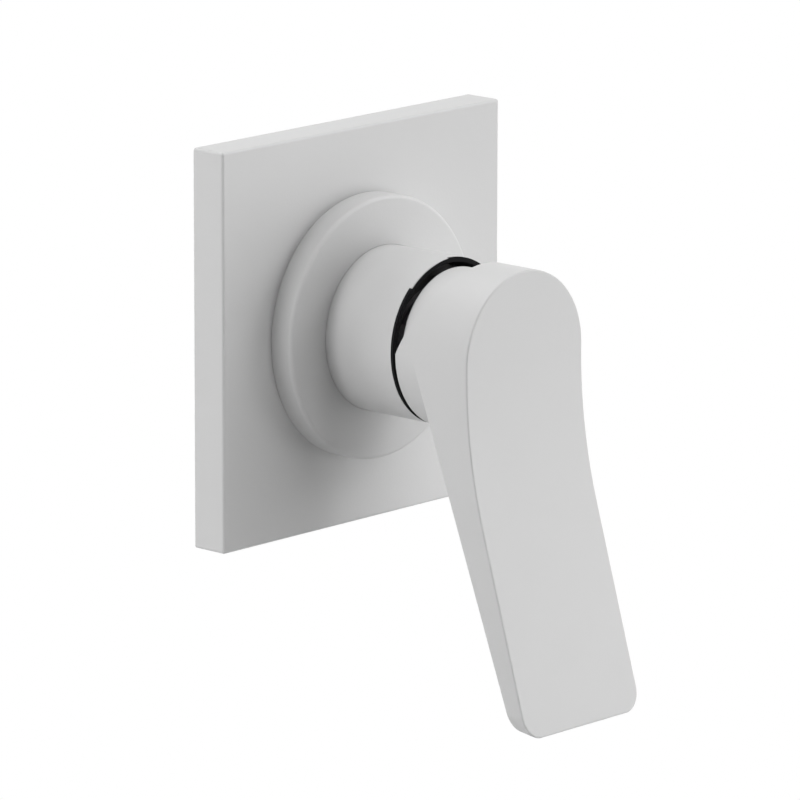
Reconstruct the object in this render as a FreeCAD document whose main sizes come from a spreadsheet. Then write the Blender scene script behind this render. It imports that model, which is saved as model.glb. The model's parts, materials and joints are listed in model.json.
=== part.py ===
import FreeCAD, Part
import os
import Sketcher

# Wall-mounted single-lever shower mixer, in millimetres.
# Every piece is drawn in the wall's own frame: x to the right, y up, z out of the wall.
# Its placement then stands that frame up, so that the part has +Z up and its front towards -Y.
# The origin is the middle of the wall plate's back, on the wall.

SIZES = [
    # square wall plate, a pan that is open at the back, and the foam ring inside its rim
    ("plate_side", 110.0),
    ("plate_depth", 11.0),
    ("plate_face", 3.0),
    ("plate_wall", 2.5),
    ("plate_edge", 0.8),
    ("gasket_width", 6.0),
    ("gasket_play", 0.1),
    # round disc on the plate, its O-ring and its screws
    ("disc_across", 73.0),
    ("disc_height", 7.35),
    ("disc_edge", 1.2),
    ("spigot_length", 2.8),
    ("spigot_wall", 1.75),
    ("spigot_play", 0.1),
    ("disc_bore_play", 0.05),
    ("oring_thickness", 1.8),
    ("oring_play", 0.03),
    ("oring_groove_room", 0.3),
    ("disc_screw_across", 3.0),
    ("disc_screw_head", 5.6),
    ("disc_screw_length", 7.0),
    ("disc_screw_drive", 2.0),
    ("disc_screw_drive_depth", 1.0),
    ("screw_play", 0.05),
    ("screw_end_room", 0.6),
    # cartridge: base with its ports, seals and pegs
    ("cartridge_across", 35.0),
    ("cartridge_play", 0.1),
    ("base_height", 4.5),
    ("port_across", 7.0),
    ("seal_height", 1.2),
    ("seal_rim", 1.6),
    ("seal_play", 0.1),
    ("peg_across", 3.0),
    ("peg_length", 2.0),
    ("peg_play", 0.1),
    ("peg_angle", 40.0),
    # cartridge: ceramic discs and the carrier
    ("fixed_disc_height", 4.0),
    ("fixed_disc_room", 2.0),
    ("disc_port_across", 5.6),
    ("sliding_gap", 0.1),
    ("moving_disc_height", 3.8),
    ("moving_disc_room", 1.5),
    ("chamber_wall", 3.0),
    ("chamber_depth", 2.0),
    ("carrier_floor", 1.2),
    ("carrier_rim", 1.0),
    ("carrier_rim_depth", 1.5),
    ("carrier_play", 0.1),
    ("carrier_boss", 9.6),
    ("boss_over_ball", 1.4),
    ("ball_across", 6.0),
    ("ball_floor_gap", 0.4),
    ("ball_play", 0.2),
    # cartridge: turret, housing, nut and stop ring
    ("housing_wall", 2.0),
    ("turret_play", 0.2),
    ("turret_gap", 0.2),
    ("turret_flange_height", 3.5),
    ("turret_step", 3.5),
    ("turret_nose", 3.7),
    ("turret_chamfer", 1.5),
    ("boss_play", 0.1),
    ("boss_end_play", 0.3),
    ("boss_room", 0.6),
    ("stem_slot_play", 0.2),
    ("stem_slot_room", 0.6),
    ("housing_shoulder", 1.5),
    ("housing_cover", 3.5),
    ("housing_nose_wall", 2.1),
    ("nut_thread_height", 2.4),
    ("nut_flange", 0.5),
    ("nut_flange_gap", 0.1),
    ("nut_thread", 1.5),
    ("nut_play", 0.2),
    ("nut_relief", 0.2),
    ("nut_slot", 4.0),
    ("nut_slot_depth", 1.2),
    ("nut_slot_reach", 2.5),
    ("stop_height", 1.8),
    ("stop_play", 0.3),
    ("stop_inset", 0.1),
    ("stop_gap_angle", 130.0),
    ("lug_reach", 1.6),
    ("lug_height", 1.3),
    ("lug_angle", 24.0),
    # pivot and stem
    ("pin_across", 4.0),
    ("pin_inset", 0.6),
    ("pin_fit", 0.02),
    ("pin_running_play", 0.06),
    ("tip_arm", 14.0),
    ("lift_angle", 20.0),
    ("stem_side", 8.0),
    ("stem_back", 4.5),
    ("stem_end_room", 1.0),
    ("shank_across", 4.4),
    # valve body in the wall
    ("cup_wall", 2.8),
    ("body_flange", 5.0),
    ("body_step", 1.6),
    ("body_back", 0.5),
    ("inlet_depth", 13.0),
    ("inlet_stand", 3.0),
    ("outlet_stand", 8.0),
    ("inlet_boss", 25.0),
    ("inlet_thread", 18.6),
    ("inlet_thread_depth", 12.5),
    ("waterway", 8.0),
    ("inlet_land", 5.5),
    ("outlet_land", 6.0),
    # bracket behind the body
    ("bracket_width", 30.0),
    ("bracket_height", 88.0),
    ("bracket_thickness", 2.5),
    ("bracket_corner", 5.0),
    ("wall_hole", 5.5),
    ("wall_hole_margin", 6.0),
    ("bracket_screw_across", 5.0),
    ("bracket_screw_head", 9.0),
    ("bracket_screw_length", 8.0),
    ("bracket_screw_drive", 3.4),
    ("bracket_screw_drive_depth", 1.6),
    ("bracket_screw_spread", 28.0),
    # neck sleeve and the black ring in its mouth
    ("thread_play", 0.05),
    ("neck_rib", 2.45),
    ("neck_rib_length", 19.0),
    ("neck_wall", 1.2),
    ("neck_reach", 23.85),
    ("ring_flange", 0.8),
    ("ring_play", 0.05),
    ("ring_lip", 0.1),
    ("ring_skirt", 1.25),
    ("ring_depth", 4.7),
    ("notch_start", 92.0),
    ("notch_end", 132.6),
    ("key_depth", 0.3),
    ("key_edge", 0.2),
    ("key_play", 0.05),
    # lever
    ("handle_gap", 1.05),
    ("hub_overhang", 0.3),
    ("hub_thickness", 25.95),
    ("collar_lead", 0.4),
    ("collar_inset", 1.15),
    ("collar_wall", 2.25),
    ("collar_bevel", 0.9),
    ("relief_angle", 26.0),
    ("pivot_ahead", 0.95),
    ("bore_room", 0.6),
    ("socket_depth", 12.4),
    ("socket_play", 0.05),
    ("wedge_at_axis", 5.95),
    ("bend_drop", 22.9),
    ("bend_radius", 143.0),
    ("blade_angle", 16.55),
    ("blade_back_angle", 20.76),
    ("blade_length", 78.9),
    ("tip_angle", 8.0),
    ("blade_corner", 5.9),
    ("blade_edge", 0.5),
    ("handle_screw_across", 4.0),
    ("handle_screw_length", 10.0),
    ("handle_screw_ahead", 3.0),
    ("handle_screw_fit", 0.02),
    ("handle_screw_drive", 2.4),
    ("handle_screw_drive_depth", 2.2),
    ("plug_across", 5.9),
    ("plug_depth", 3.7),
    ("plug_play", 0.05),
    # how far a cut runs past the face that it opens
    ("overrun", 2.0),
]
# Places of the three ports on the cartridge, as shares of its radius: hot, cold and mixed.
PORT_SHARES = [(-0.457, -0.257), (0.457, -0.257), (0, 0.486)]
HEXAGON_SIDES = 6
QUARTER_TURN = 90
SAME_PLACE = 0.001

doc = FreeCAD.newDocument("shower_mixer")
sheet = doc.addObject("Spreadsheet::Sheet", "size")
for row, (alias, value) in enumerate(SIZES, start=1):
    sheet.set(f"A{row}", alias)
    sheet.set(f"B{row}", str(value))
    sheet.setAlias(f"B{row}", alias)
doc.recompute()


# Formulas over the sheet's cells.


def size(alias):
    return f"size.{alias}"


def half(formula):
    return f"(({formula}) / 2)"


def add(*formulas):
    return "(" + " + ".join(formulas) + ")"


def less(first, *others):
    return "(" + " - ".join((first,) + others) + ")"


def minus(formula):
    return f"(0 - {formula})"


def times(one, other):
    return f"({one} * {other})"


def number(formula):
    """What a formula comes to."""
    return float(sheet.evalExpression(formula))


LIFT_SIN = f"sin({size('lift_angle')})"
LIFT_COS = f"cos({size('lift_angle')})"
LIFT_TAN = f"tan({size('lift_angle')})"
# How far the stem's ball, and with it the moving disc, travels at full lift.
TRAVEL = times(size("tip_arm"), LIFT_SIN)

# Radii, from the cartridge outwards.
CARTRIDGE_R = half(size("cartridge_across"))
HOUSING_BORE_R = less(CARTRIDGE_R, size("housing_wall"))
TURRET_FLANGE_R = less(HOUSING_BORE_R, size("turret_play"))
TURRET_NECK_R = less(TURRET_FLANGE_R, size("turret_step"))
COVER_HOLE_R = add(TURRET_NECK_R, size("turret_play"))
HOUSING_NOSE_R = add(COVER_HOLE_R, size("housing_nose_wall"))
NUT_BORE_R = add(HOUSING_NOSE_R, size("nut_play"))
CUP_R = add(CARTRIDGE_R, size("cartridge_play"))
NOSE_R = add(CUP_R, size("cup_wall"))
NUT_R = less(NOSE_R, size("nut_thread"))
BODY_R = add(NOSE_R, size("body_step"))
NECK_RIB_R = add(NOSE_R, size("thread_play"))
NECK_R = add(NECK_RIB_R, size("neck_rib"))
NECK_BORE_R = less(NECK_R, size("neck_wall"))
RING_R = less(NECK_BORE_R, size("ring_play"))
DISC_R = half(size("disc_across"))
DISC_BORE_R = add(NECK_R, size("disc_bore_play"))
SPIGOT_R = add(DISC_BORE_R, size("spigot_wall"))
PLATE_HOLE_R = add(SPIGOT_R, size("spigot_play"))
ORING_R = add(NECK_R, size("oring_play"), half(size("oring_thickness")))
HUB_R = add(NECK_R, size("hub_overhang"))
COLLAR_R = less(NECK_BORE_R, size("collar_inset"))
HANDLE_BORE_R = less(COLLAR_R, size("collar_wall"))
CARRIER_TRAVEL_R = add(half(TRAVEL), size("carrier_rim"), size("carrier_play"), size("moving_disc_room"))
MOVING_DISC_R = less(HOUSING_BORE_R, CARRIER_TRAVEL_R)
CARRIER_BORE_R = add(MOVING_DISC_R, size("carrier_play"))
PIN_R = half(size("pin_across"))
PORT_R = half(size("port_across"))
SEAL_R = add(PORT_R, size("seal_play"), size("seal_rim"))
WATERWAY_R = half(size("waterway"))
INLET_BOSS_R = half(size("inlet_boss"))
INLET_THREAD_R = half(size("inlet_thread"))
DISC_SCREW_R = half(size("disc_screw_across"))
BRACKET_SCREW_R = half(size("bracket_screw_across"))
HANDLE_SCREW_R = half(size("handle_screw_across"))

# Places along the neck's axis, out from the wall.
PLATE_FLOOR = less(size("plate_depth"), size("plate_face"))
DISC_BACK = size("plate_depth")
DISC_FRONT = add(DISC_BACK, size("disc_height"))
NECK_BACK = size("body_flange")
NECK_FRONT = add(DISC_FRONT, size("neck_reach"))
RING_FRONT = add(NECK_FRONT, size("ring_flange"))
HUB_REAR = add(RING_FRONT, size("handle_gap"))
COLLAR_REAR = less(HUB_REAR, size("collar_lead"))
PIVOT = add(HUB_REAR, size("pivot_ahead"))
BLADE_FRONT = add(HUB_REAR, size("hub_thickness"))
BLADE_BACK = add(HUB_REAR, size("wedge_at_axis"))
BLADE_MIDDLE = half(add(BLADE_BACK, BLADE_FRONT))
BALL = less(PIVOT, size("tip_arm"))
CARRIER_TOP = less(BALL, half(size("ball_across")), size("ball_floor_gap"))
MOVING_TOP = less(CARRIER_TOP, size("carrier_floor"))
MOVING_BOTTOM = less(MOVING_TOP, size("moving_disc_height"))
FIXED_TOP = less(MOVING_BOTTOM, size("sliding_gap"))
FIXED_BOTTOM = less(FIXED_TOP, size("fixed_disc_height"))
SEAT = less(FIXED_BOTTOM, size("base_height"))
BOSS_TOP = add(BALL, size("boss_over_ball"))
TURRET_BOTTOM = add(CARRIER_TOP, size("turret_gap"))
TURRET_SHOULDER = add(TURRET_BOTTOM, size("turret_flange_height"))
TURRET_FRONT = add(PIVOT, size("turret_nose"))
BOSS_SLOT_TOP = add(BOSS_TOP, size("boss_room"))
COVER_BOTTOM = add(TURRET_SHOULDER, size("turret_gap"))
SHOULDER = add(COVER_BOTTOM, size("housing_shoulder"))
COVER_TOP = add(COVER_BOTTOM, size("housing_cover"))
NOSE_FRONT = add(SHOULDER, size("nut_thread_height"))
NUT_FLANGE_BACK = add(NOSE_FRONT, size("nut_flange_gap"))
NUT_FRONT = add(NUT_FLANGE_BACK, size("nut_flange"))
INLET_AXIS = minus(size("inlet_depth"))
BODY_REAR = less(INLET_AXIS, INLET_BOSS_R, size("body_back"))
BRACKET_REAR = less(BODY_REAR, size("bracket_thickness"))
# The turret's front edge comes this far into the handle's bore at full lift.
TURRET_SWEEP = add(
    times(size("turret_nose"), LIFT_COS),
    times(less(TURRET_NECK_R, size("turret_chamfer")), LIFT_SIN),
)
BORE_FLOOR = add(PIVOT, TURRET_SWEEP, size("bore_room"))
SOCKET_FLOOR = add(BORE_FLOOR, size("socket_depth"))
HANDLE_SCREW_OUT = add(BORE_FLOOR, size("handle_screw_ahead"))

# Places across the wall.
INLET_REACH = add(BODY_R, size("inlet_stand"))
OUTLET_REACH = add(BODY_R, size("outlet_stand"))
DISC_SCREW_PLACE = f"({half(add(PLATE_HOLE_R, DISC_R))} / sqrt(2))"
DISC_SCREW_PLACES = [
    (DISC_SCREW_PLACE, DISC_SCREW_PLACE),
    (minus(DISC_SCREW_PLACE), DISC_SCREW_PLACE),
    (minus(DISC_SCREW_PLACE), minus(DISC_SCREW_PLACE)),
    (DISC_SCREW_PLACE, minus(DISC_SCREW_PLACE)),
]
PORT_PLACES = [(times(x, CARTRIDGE_R), times(y, CARTRIDGE_R)) for x, y in PORT_SHARES]
PEG_CIRCLE_R = half(add(CARTRIDGE_R, MOVING_DISC_R))
PEG_RISE = times(PEG_CIRCLE_R, f"sin({size('peg_angle')})")
PEG_SIDE = times(PEG_CIRCLE_R, f"cos({size('peg_angle')})")
PEG_PLACES = [(PEG_SIDE, PEG_RISE), (minus(PEG_SIDE), PEG_RISE)]
BRACKET_SCREW_PLACE = half(size("bracket_screw_spread"))
BRACKET_SCREW_PLACES = [("0", BRACKET_SCREW_PLACE), ("0", minus(BRACKET_SCREW_PLACE))]
PLUG_FLOOR = less(HUB_R, size("plug_depth"))

WALL_FRAME = FreeCAD.Placement(
    FreeCAD.Vector(0, 0, 0), FreeCAD.Rotation(FreeCAD.Vector(1, 0, 0), QUARTER_TURN)
)
subparts = []


# Building blocks.


def keep(item, label):
    """Names a finished piece and stands it up from the wall's frame."""
    item.Label = label
    item.Placement = WALL_FRAME
    subparts.append(item)
    return item


def new_body(label):
    return keep(doc.addObject("PartDesign::Body", label), label)


def new_sketch(body, role, name, offset=None):
    """An empty sketch on one of the body's own planes, or at an offset along that plane's normal."""
    sketch = body.newObject("Sketcher::SketchObject", name)
    plane = [item for item in body.Origin.OriginFeatures if item.Role == role][0]
    sketch.AttachmentSupport = [(plane, "")]
    sketch.MapMode = "FlatFace"
    if offset:
        sketch.setExpression("AttachmentOffset.Base.z", offset)
    return sketch


def hold(sketch, constraint, formula):
    """Adds a constraint whose value follows a formula."""
    sketch.setExpression(f"Constraints[{sketch.addConstraint(constraint)}]", formula)


def hold_point(sketch, geometry, point, x, y):
    """Holds one point of a sketch at two formulas."""
    for kind, axis, formula in (("DistanceX", -2, x), ("DistanceY", -1, y)):
        if abs(number(formula)) < SAME_PLACE:
            sketch.addConstraint(Sketcher.Constraint("PointOnObject", geometry, point, axis))
        else:
            hold(sketch, Sketcher.Constraint(kind, geometry, point, number(formula)), formula)


def draw_outline(sketch, corners):
    """A closed run of straight sides through corners given as pairs of formulas."""
    places = [FreeCAD.Vector(number(x), number(y), 0) for x, y in corners]
    following = places[1:] + places[:1]
    first = sketch.GeometryCount
    for start, end in zip(places, following):
        sketch.addGeometry(Part.LineSegment(start, end))
    for index in range(len(corners)):
        after = first + (index + 1) % len(corners)
        sketch.addConstraint(Sketcher.Constraint("Coincident", first + index, 2, after, 1))
    for index, (x, y) in enumerate(corners, start=first):
        hold_point(sketch, index, 1, x, y)


def draw_rectangle(sketch, left, bottom, right, top):
    draw_outline(sketch, [(left, bottom), (right, bottom), (right, top), (left, top)])


def draw_square(sketch, side):
    draw_rectangle(sketch, minus(half(side)), minus(half(side)), half(side), half(side))


def draw_circle(sketch, radius, x="0", y="0"):
    middle = FreeCAD.Vector(number(x), number(y), 0)
    circle = Part.Circle(middle, FreeCAD.Vector(0, 0, 1), number(radius))
    index = sketch.addGeometry(circle)
    hold(sketch, Sketcher.Constraint("Radius", index, number(radius)), radius)
    hold_point(sketch, index, 3, x, y)


def draw_circles(sketch, radius, places):
    for x, y in places:
        draw_circle(sketch, radius, x, y)


def draw_hexagon(sketch, across_corners, x, y):
    corners = []
    for index in range(HEXAGON_SIDES):
        angle = f"({index} * 360 / {HEXAGON_SIDES})"
        reach = half(across_corners)
        corners.append((add(x, times(reach, f"cos{angle}")), add(y, times(reach, f"sin{angle}"))))
    draw_outline(sketch, corners)


def pad(body, sketch, length, backward=False, symmetric=False):
    """Builds a sketch up along its normal, or the other way, or to both sides."""
    feature = body.newObject("PartDesign::Pad", sketch.Name + "_pad")
    feature.Profile = sketch
    feature.Reversed = backward
    feature.setExpression("Length", length)
    if symmetric:
        feature.SideType = "Symmetric"
    doc.recompute()
    return feature


def check_cut(body, before, name):
    if not body.Shape.Volume < before:
        raise ValueError(f"{name} cuts nothing")


def pocket(body, sketch, depth=None, forward=False, symmetric=False):
    """Cuts a sketch out of the body, to a depth or through all, against its normal or along it."""
    before = body.Shape.Volume
    feature = body.newObject("PartDesign::Pocket", sketch.Name + "_pocket")
    feature.Profile = sketch
    feature.Reversed = forward
    if symmetric:
        feature.SideType = "Symmetric"
    if depth:
        feature.setExpression("Length", depth)
    else:
        feature.Type = "ThroughAll"
    doc.recompute()
    check_cut(body, before, feature.Name)
    return feature


def turn(body, kind, name, draw, start=None, sweep=None):
    """Turns what draw puts in a sketch, as (radius, out), about the neck's axis, fully or over a sweep."""
    sketch = new_sketch(body, "XZ_Plane", name)
    if start:
        sketch.AttachmentOffset = FreeCAD.Placement(
            FreeCAD.Vector(0, 0, 0), FreeCAD.Rotation(FreeCAD.Vector(0, 1, 0), QUARTER_TURN)
        )
        sketch.setExpression("AttachmentOffset.Rotation.Angle", start)
    draw(sketch)
    feature = body.newObject(kind, name + "_turn")
    feature.Profile = sketch
    feature.ReferenceAxis = (sketch, ["V_Axis"])
    if sweep:
        feature.setExpression("Angle", sweep)
    doc.recompute()
    return feature


def turned(body, name, corners, start=None, sweep=None):
    kind = "PartDesign::Revolution"
    return turn(body, kind, name, lambda sketch: draw_outline(sketch, corners), start, sweep)


def turned_cut(body, name, corners, start=None, sweep=None):
    before = body.Shape.Volume
    turn(body, "PartDesign::Groove", name, lambda sketch: draw_outline(sketch, corners), start, sweep)
    check_cut(body, before, name)


def sector(body, kind, name, radius, back, height, start, sweep):
    """A slice of a cylinder about the neck's axis, from one angle over another."""
    feature = body.newObject(kind, name)
    feature.Placement = FreeCAD.Placement(
        FreeCAD.Vector(0, 0, 0), FreeCAD.Rotation(FreeCAD.Vector(0, 0, 1), QUARTER_TURN)
    )
    feature.setExpression("Radius", radius)
    feature.setExpression("Height", height)
    feature.setExpression("Angle", sweep)
    feature.setExpression("Placement.Base.z", back)
    feature.setExpression("Placement.Rotation.Angle", start)
    doc.recompute()
    return feature


def near(one, other):
    return abs(one - other) < SAME_PLACE


def edge_names(shape, wanted):
    return [f"Edge{index}" for index, edge in enumerate(shape.Edges, start=1) if wanted(edge)]


def is_round(radius, out):
    """A test for round edges of this radius, this far out from the wall."""

    def wanted(edge):
        curve = edge.Curve
        if not isinstance(curve, Part.Circle) or not near(curve.Radius, number(radius)):
            return False
        return near(curve.Center.z, number(out))

    return wanted


def is_across(y, out):
    """A test for edges that lie along x, at this height and this far out."""

    def wanted(edge):
        points = [vertex.Point for vertex in edge.Vertexes]
        return all(near(point.y, number(y)) and near(point.z, number(out)) for point in points)

    return wanted


def dress(body, kind, name, edges, amount, value):
    base = body.Tip
    feature = body.newObject(kind, name)
    feature.Base = (base, edges)
    feature.setExpression(amount, value)
    doc.recompute()
    return feature


def rounded(body, name, wanted, radius):
    return dress(body, "PartDesign::Fillet", name, edge_names(body.Tip.Shape, wanted), "Radius", radius)


def bevelled(body, name, wanted, width):
    return dress(body, "PartDesign::Chamfer", name, edge_names(body.Tip.Shape, wanted), "Size", width)


def primitive(kind, name, **sizes):
    item = doc.addObject(kind, name)
    for prop, formula in sizes.items():
        item.setExpression(prop, formula)
    return item


def joined(kind, name, **links):
    item = doc.addObject(kind, name)
    for prop, link in links.items():
        setattr(item, prop, link)
    return item


def move_to(item, x, y, out):
    for axis, formula in (("x", x), ("y", y), ("z", out)):
        item.setExpression(f"Placement.Base.{axis}", formula)


def group(label, items):
    """Identical solids that share one node."""
    return keep(joined("Part::Compound", label, Links=items), label)


def countersunk_screw(name, kind, place, head_back):
    """A hexagon-socket screw that points out of the wall, its head's flat end at head_back."""
    across = size(f"{kind}_across")
    head_across = size(f"{kind}_head")
    head = primitive("Part::Cone", name + "_head", Radius1=half(head_across), Radius2=half(across))
    head.setExpression("Height", half(less(head_across, across)))
    shank = primitive("Part::Cylinder", name + "_shank", Radius=half(across), Height=size(f"{kind}_length"))
    whole = joined("Part::MultiFuse", name + "_whole", Shapes=[head, shank])
    drive = primitive("Part::Prism", name + "_drive", Circumradius=half(size(f"{kind}_drive")))
    drive.Polygon = HEXAGON_SIDES
    drive.setExpression("Height", size(f"{kind}_drive_depth"))
    screw = joined("Part::Cut", name, Base=whole, Tool=drive)
    move_to(screw, *place, head_back)
    return screw


def screw_group(label, kind, places, head_back):
    screws = []
    for index, place in enumerate(places, start=1):
        screws.append(countersunk_screw(f"{label}_{index}", kind, place, head_back))
    return group(label, screws)


def screw_holes(body, name, kind, places, out):
    """Clearance holes through a plate, countersunk on the side towards the wall."""
    radius = add(half(size(f"{kind}_across")), size("screw_play"))
    sketch = new_sketch(body, "XY_Plane", name, out)
    draw_circles(sketch, radius, places)
    pocket(body, sketch, forward=True)
    width = half(less(size(f"{kind}_head"), size(f"{kind}_across")))
    bevelled(body, name + "_sinks", is_round(radius, out), width)


# Wall plate and the disc on it.


def make_wall_plate():
    body = new_body("wall_plate")
    square = new_sketch(body, "XY_Plane", "plate_square")
    draw_square(square, size("plate_side"))
    pad(body, square, size("plate_depth"))
    pan = new_sketch(body, "XY_Plane", "plate_pan")
    draw_square(pan, less(size("plate_side"), size("plate_wall"), size("plate_wall")))
    pocket(body, pan, PLATE_FLOOR, forward=True)
    hole = new_sketch(body, "XY_Plane", "plate_hole")
    draw_circle(hole, PLATE_HOLE_R)
    pocket(body, hole, forward=True)
    screw_holes(body, "plate_screw_holes", "disc_screw", DISC_SCREW_PLACES, PLATE_FLOOR)
    reach = number(half(size("plate_side")))

    def on_outside(edge):
        ends = [vertex.Point for vertex in edge.Vertexes]
        at_back = all(near(end.z, 0) for end in ends)
        return not at_back and all(near(max(abs(end.x), abs(end.y)), reach) for end in ends)

    rounded(body, "plate_edges", on_outside, size("plate_edge"))


def make_plate_gasket():
    body = new_body("plate_gasket")
    ring = new_sketch(body, "XY_Plane", "gasket_ring")
    inset = add(size("plate_wall"), size("gasket_play"))
    outer = less(size("plate_side"), inset, inset)
    draw_square(ring, outer)
    draw_square(ring, less(outer, size("gasket_width"), size("gasket_width")))
    pad(body, ring, PLATE_FLOOR)


def make_cover_disc():
    body = new_body("cover_disc")
    spigot_back = less(DISC_BACK, size("spigot_length"))
    turned(body, "disc_section", [
        (DISC_BORE_R, spigot_back),
        (SPIGOT_R, spigot_back),
        (SPIGOT_R, DISC_BACK),
        (DISC_R, DISC_BACK),
        (DISC_R, DISC_FRONT),
        (DISC_BORE_R, DISC_FRONT),
    ])
    middle = half(add(DISC_BACK, DISC_FRONT))
    groove_half = add(half(size("oring_thickness")), size("oring_groove_room"))
    groove_inner = less(DISC_BORE_R, size("overrun"))
    groove_outer = add(ORING_R, half(size("oring_thickness")), size("oring_play"))
    turned_cut(body, "disc_groove", [
        (groove_inner, less(middle, groove_half)),
        (groove_outer, less(middle, groove_half)),
        (groove_outer, add(middle, groove_half)),
        (groove_inner, add(middle, groove_half)),
    ])
    holes = new_sketch(body, "XY_Plane", "disc_screw_seats", DISC_BACK)
    draw_circles(holes, add(DISC_SCREW_R, size("screw_play")), DISC_SCREW_PLACES)
    depth = add(less(size("disc_screw_length"), size("plate_face")), size("screw_end_room"))
    pocket(body, holes, depth, forward=True)
    rounded(body, "disc_front_edge", is_round(DISC_R, DISC_FRONT), size("disc_edge"))


def make_disc_oring():
    body = new_body("disc_oring")
    middle = half(add(DISC_BACK, DISC_FRONT))
    turn(
        body,
        "PartDesign::Revolution",
        "oring_section",
        lambda sketch: draw_circle(sketch, half(size("oring_thickness")), ORING_R, middle),
    )


# Neck and the black ring in its mouth.


NOTCH_SWEEP = less(size("notch_end"), size("notch_start"))


def make_neck_sleeve():
    """A sleeve whose rim carries a key, which keeps the black ring from turning."""
    body = new_body("neck_sleeve")
    rib_front = add(NECK_BACK, size("neck_rib_length"))
    turned(body, "neck_section", [
        (NECK_RIB_R, NECK_BACK),
        (NECK_R, NECK_BACK),
        (NECK_R, NECK_FRONT),
        (NECK_BORE_R, NECK_FRONT),
        (NECK_BORE_R, rib_front),
        (NECK_RIB_R, rib_front),
    ])
    key_r = less(NECK_R, size("key_depth"))
    play_angle = f"({size('key_play')} / {NECK_R} * 180 / pi)"
    turned(body, "neck_key", [
        (key_r, NECK_FRONT),
        (NECK_R, NECK_FRONT),
        (NECK_R, less(RING_FRONT, size("key_edge"))),
        (less(NECK_R, size("key_edge")), RING_FRONT),
        (key_r, RING_FRONT),
    ], add(size("notch_start"), play_angle), less(NOTCH_SWEEP, play_angle, play_angle))


def make_glide_ring():
    body = new_body("glide_ring")
    skirt_back = less(NECK_FRONT, size("ring_depth"))
    turned(body, "ring_section", [
        (less(RING_R, size("ring_skirt")), skirt_back),
        (RING_R, skirt_back),
        (RING_R, NECK_FRONT),
        (NECK_R, NECK_FRONT),
        (NECK_R, RING_FRONT),
        (less(RING_R, size("ring_lip")), RING_FRONT),
    ])
    floor_r = less(NECK_R, size("key_depth"), size("key_play"))
    side_r = add(NECK_R, size("overrun"))
    front = add(RING_FRONT, size("overrun"))
    turned_cut(body, "ring_notch", [
        (floor_r, NECK_FRONT),
        (side_r, NECK_FRONT),
        (side_r, front),
        (floor_r, front),
    ], size("notch_start"), NOTCH_SWEEP)


# Lever.

# Its side outline: front at the top, bend, tip that rises to the rear, back, and the cut that lets it lift.
TIP_FRONT_Y = less(minus(size("bend_drop")), times(size("blade_length"), f"cos({size('blade_angle')})"))
TIP_FRONT_OUT = add(BLADE_FRONT, times(size("blade_length"), f"sin({size('blade_angle')})"))
BACK_TAN = f"tan({size('blade_back_angle')})"
RELIEF_TAN = f"tan({size('relief_angle')})"
TIP_ABOVE_BACK = less(add(TIP_FRONT_OUT, times(BACK_TAN, TIP_FRONT_Y)), BLADE_BACK)
TIP_SLANT = less(f"cos({size('tip_angle')})", times(BACK_TAN, f"sin({size('tip_angle')})"))
TIP_THICKNESS = f"({TIP_ABOVE_BACK} / {TIP_SLANT})"
TIP_BACK_Y = add(TIP_FRONT_Y, times(TIP_THICKNESS, f"sin({size('tip_angle')})"))
TIP_BACK_OUT = less(TIP_FRONT_OUT, times(TIP_THICKNESS, f"cos({size('tip_angle')})"))
WEDGE_Y = f"({size('wedge_at_axis')} / {add(BACK_TAN, RELIEF_TAN)})"
WEDGE_OUT = add(HUB_REAR, times(RELIEF_TAN, WEDGE_Y))
RELIEF_TOP_OUT = add(HUB_REAR, times(RELIEF_TAN, HUB_R))


def add_blade(body):
    profile = new_sketch(body, "YZ_Plane", "blade_profile")
    draw_outline(profile, [
        (HUB_R, BLADE_FRONT),
        (minus(size("bend_drop")), BLADE_FRONT),
        (TIP_FRONT_Y, TIP_FRONT_OUT),
        (TIP_BACK_Y, TIP_BACK_OUT),
        (WEDGE_Y, WEDGE_OUT),
        (HUB_R, RELIEF_TOP_OUT),
    ])
    pad(body, profile, add(HUB_R, HUB_R), symmetric=True)
    top = new_sketch(body, "XY_Plane", "blade_top")
    draw_top_waste(top)
    pocket(body, top, forward=True)
    rounded(body, "blade_bend", is_across(minus(size("bend_drop")), BLADE_FRONT), size("bend_radius"))

    def at_tip_corner(edge):
        ends = sorted((vertex.Point for vertex in edge.Vertexes), key=lambda point: point.z)
        if len(ends) != 2 or not near(ends[0].x, ends[1].x):
            return False
        return near(ends[0].y, number(TIP_BACK_Y)) and near(ends[1].y, number(TIP_FRONT_Y))

    rounded(body, "blade_corners", at_tip_corner, size("blade_corner"))
    names = front_rim(body.Tip.Shape)
    dress(body, "PartDesign::Fillet", "blade_edges", names, "Radius", size("blade_edge"))


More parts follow.
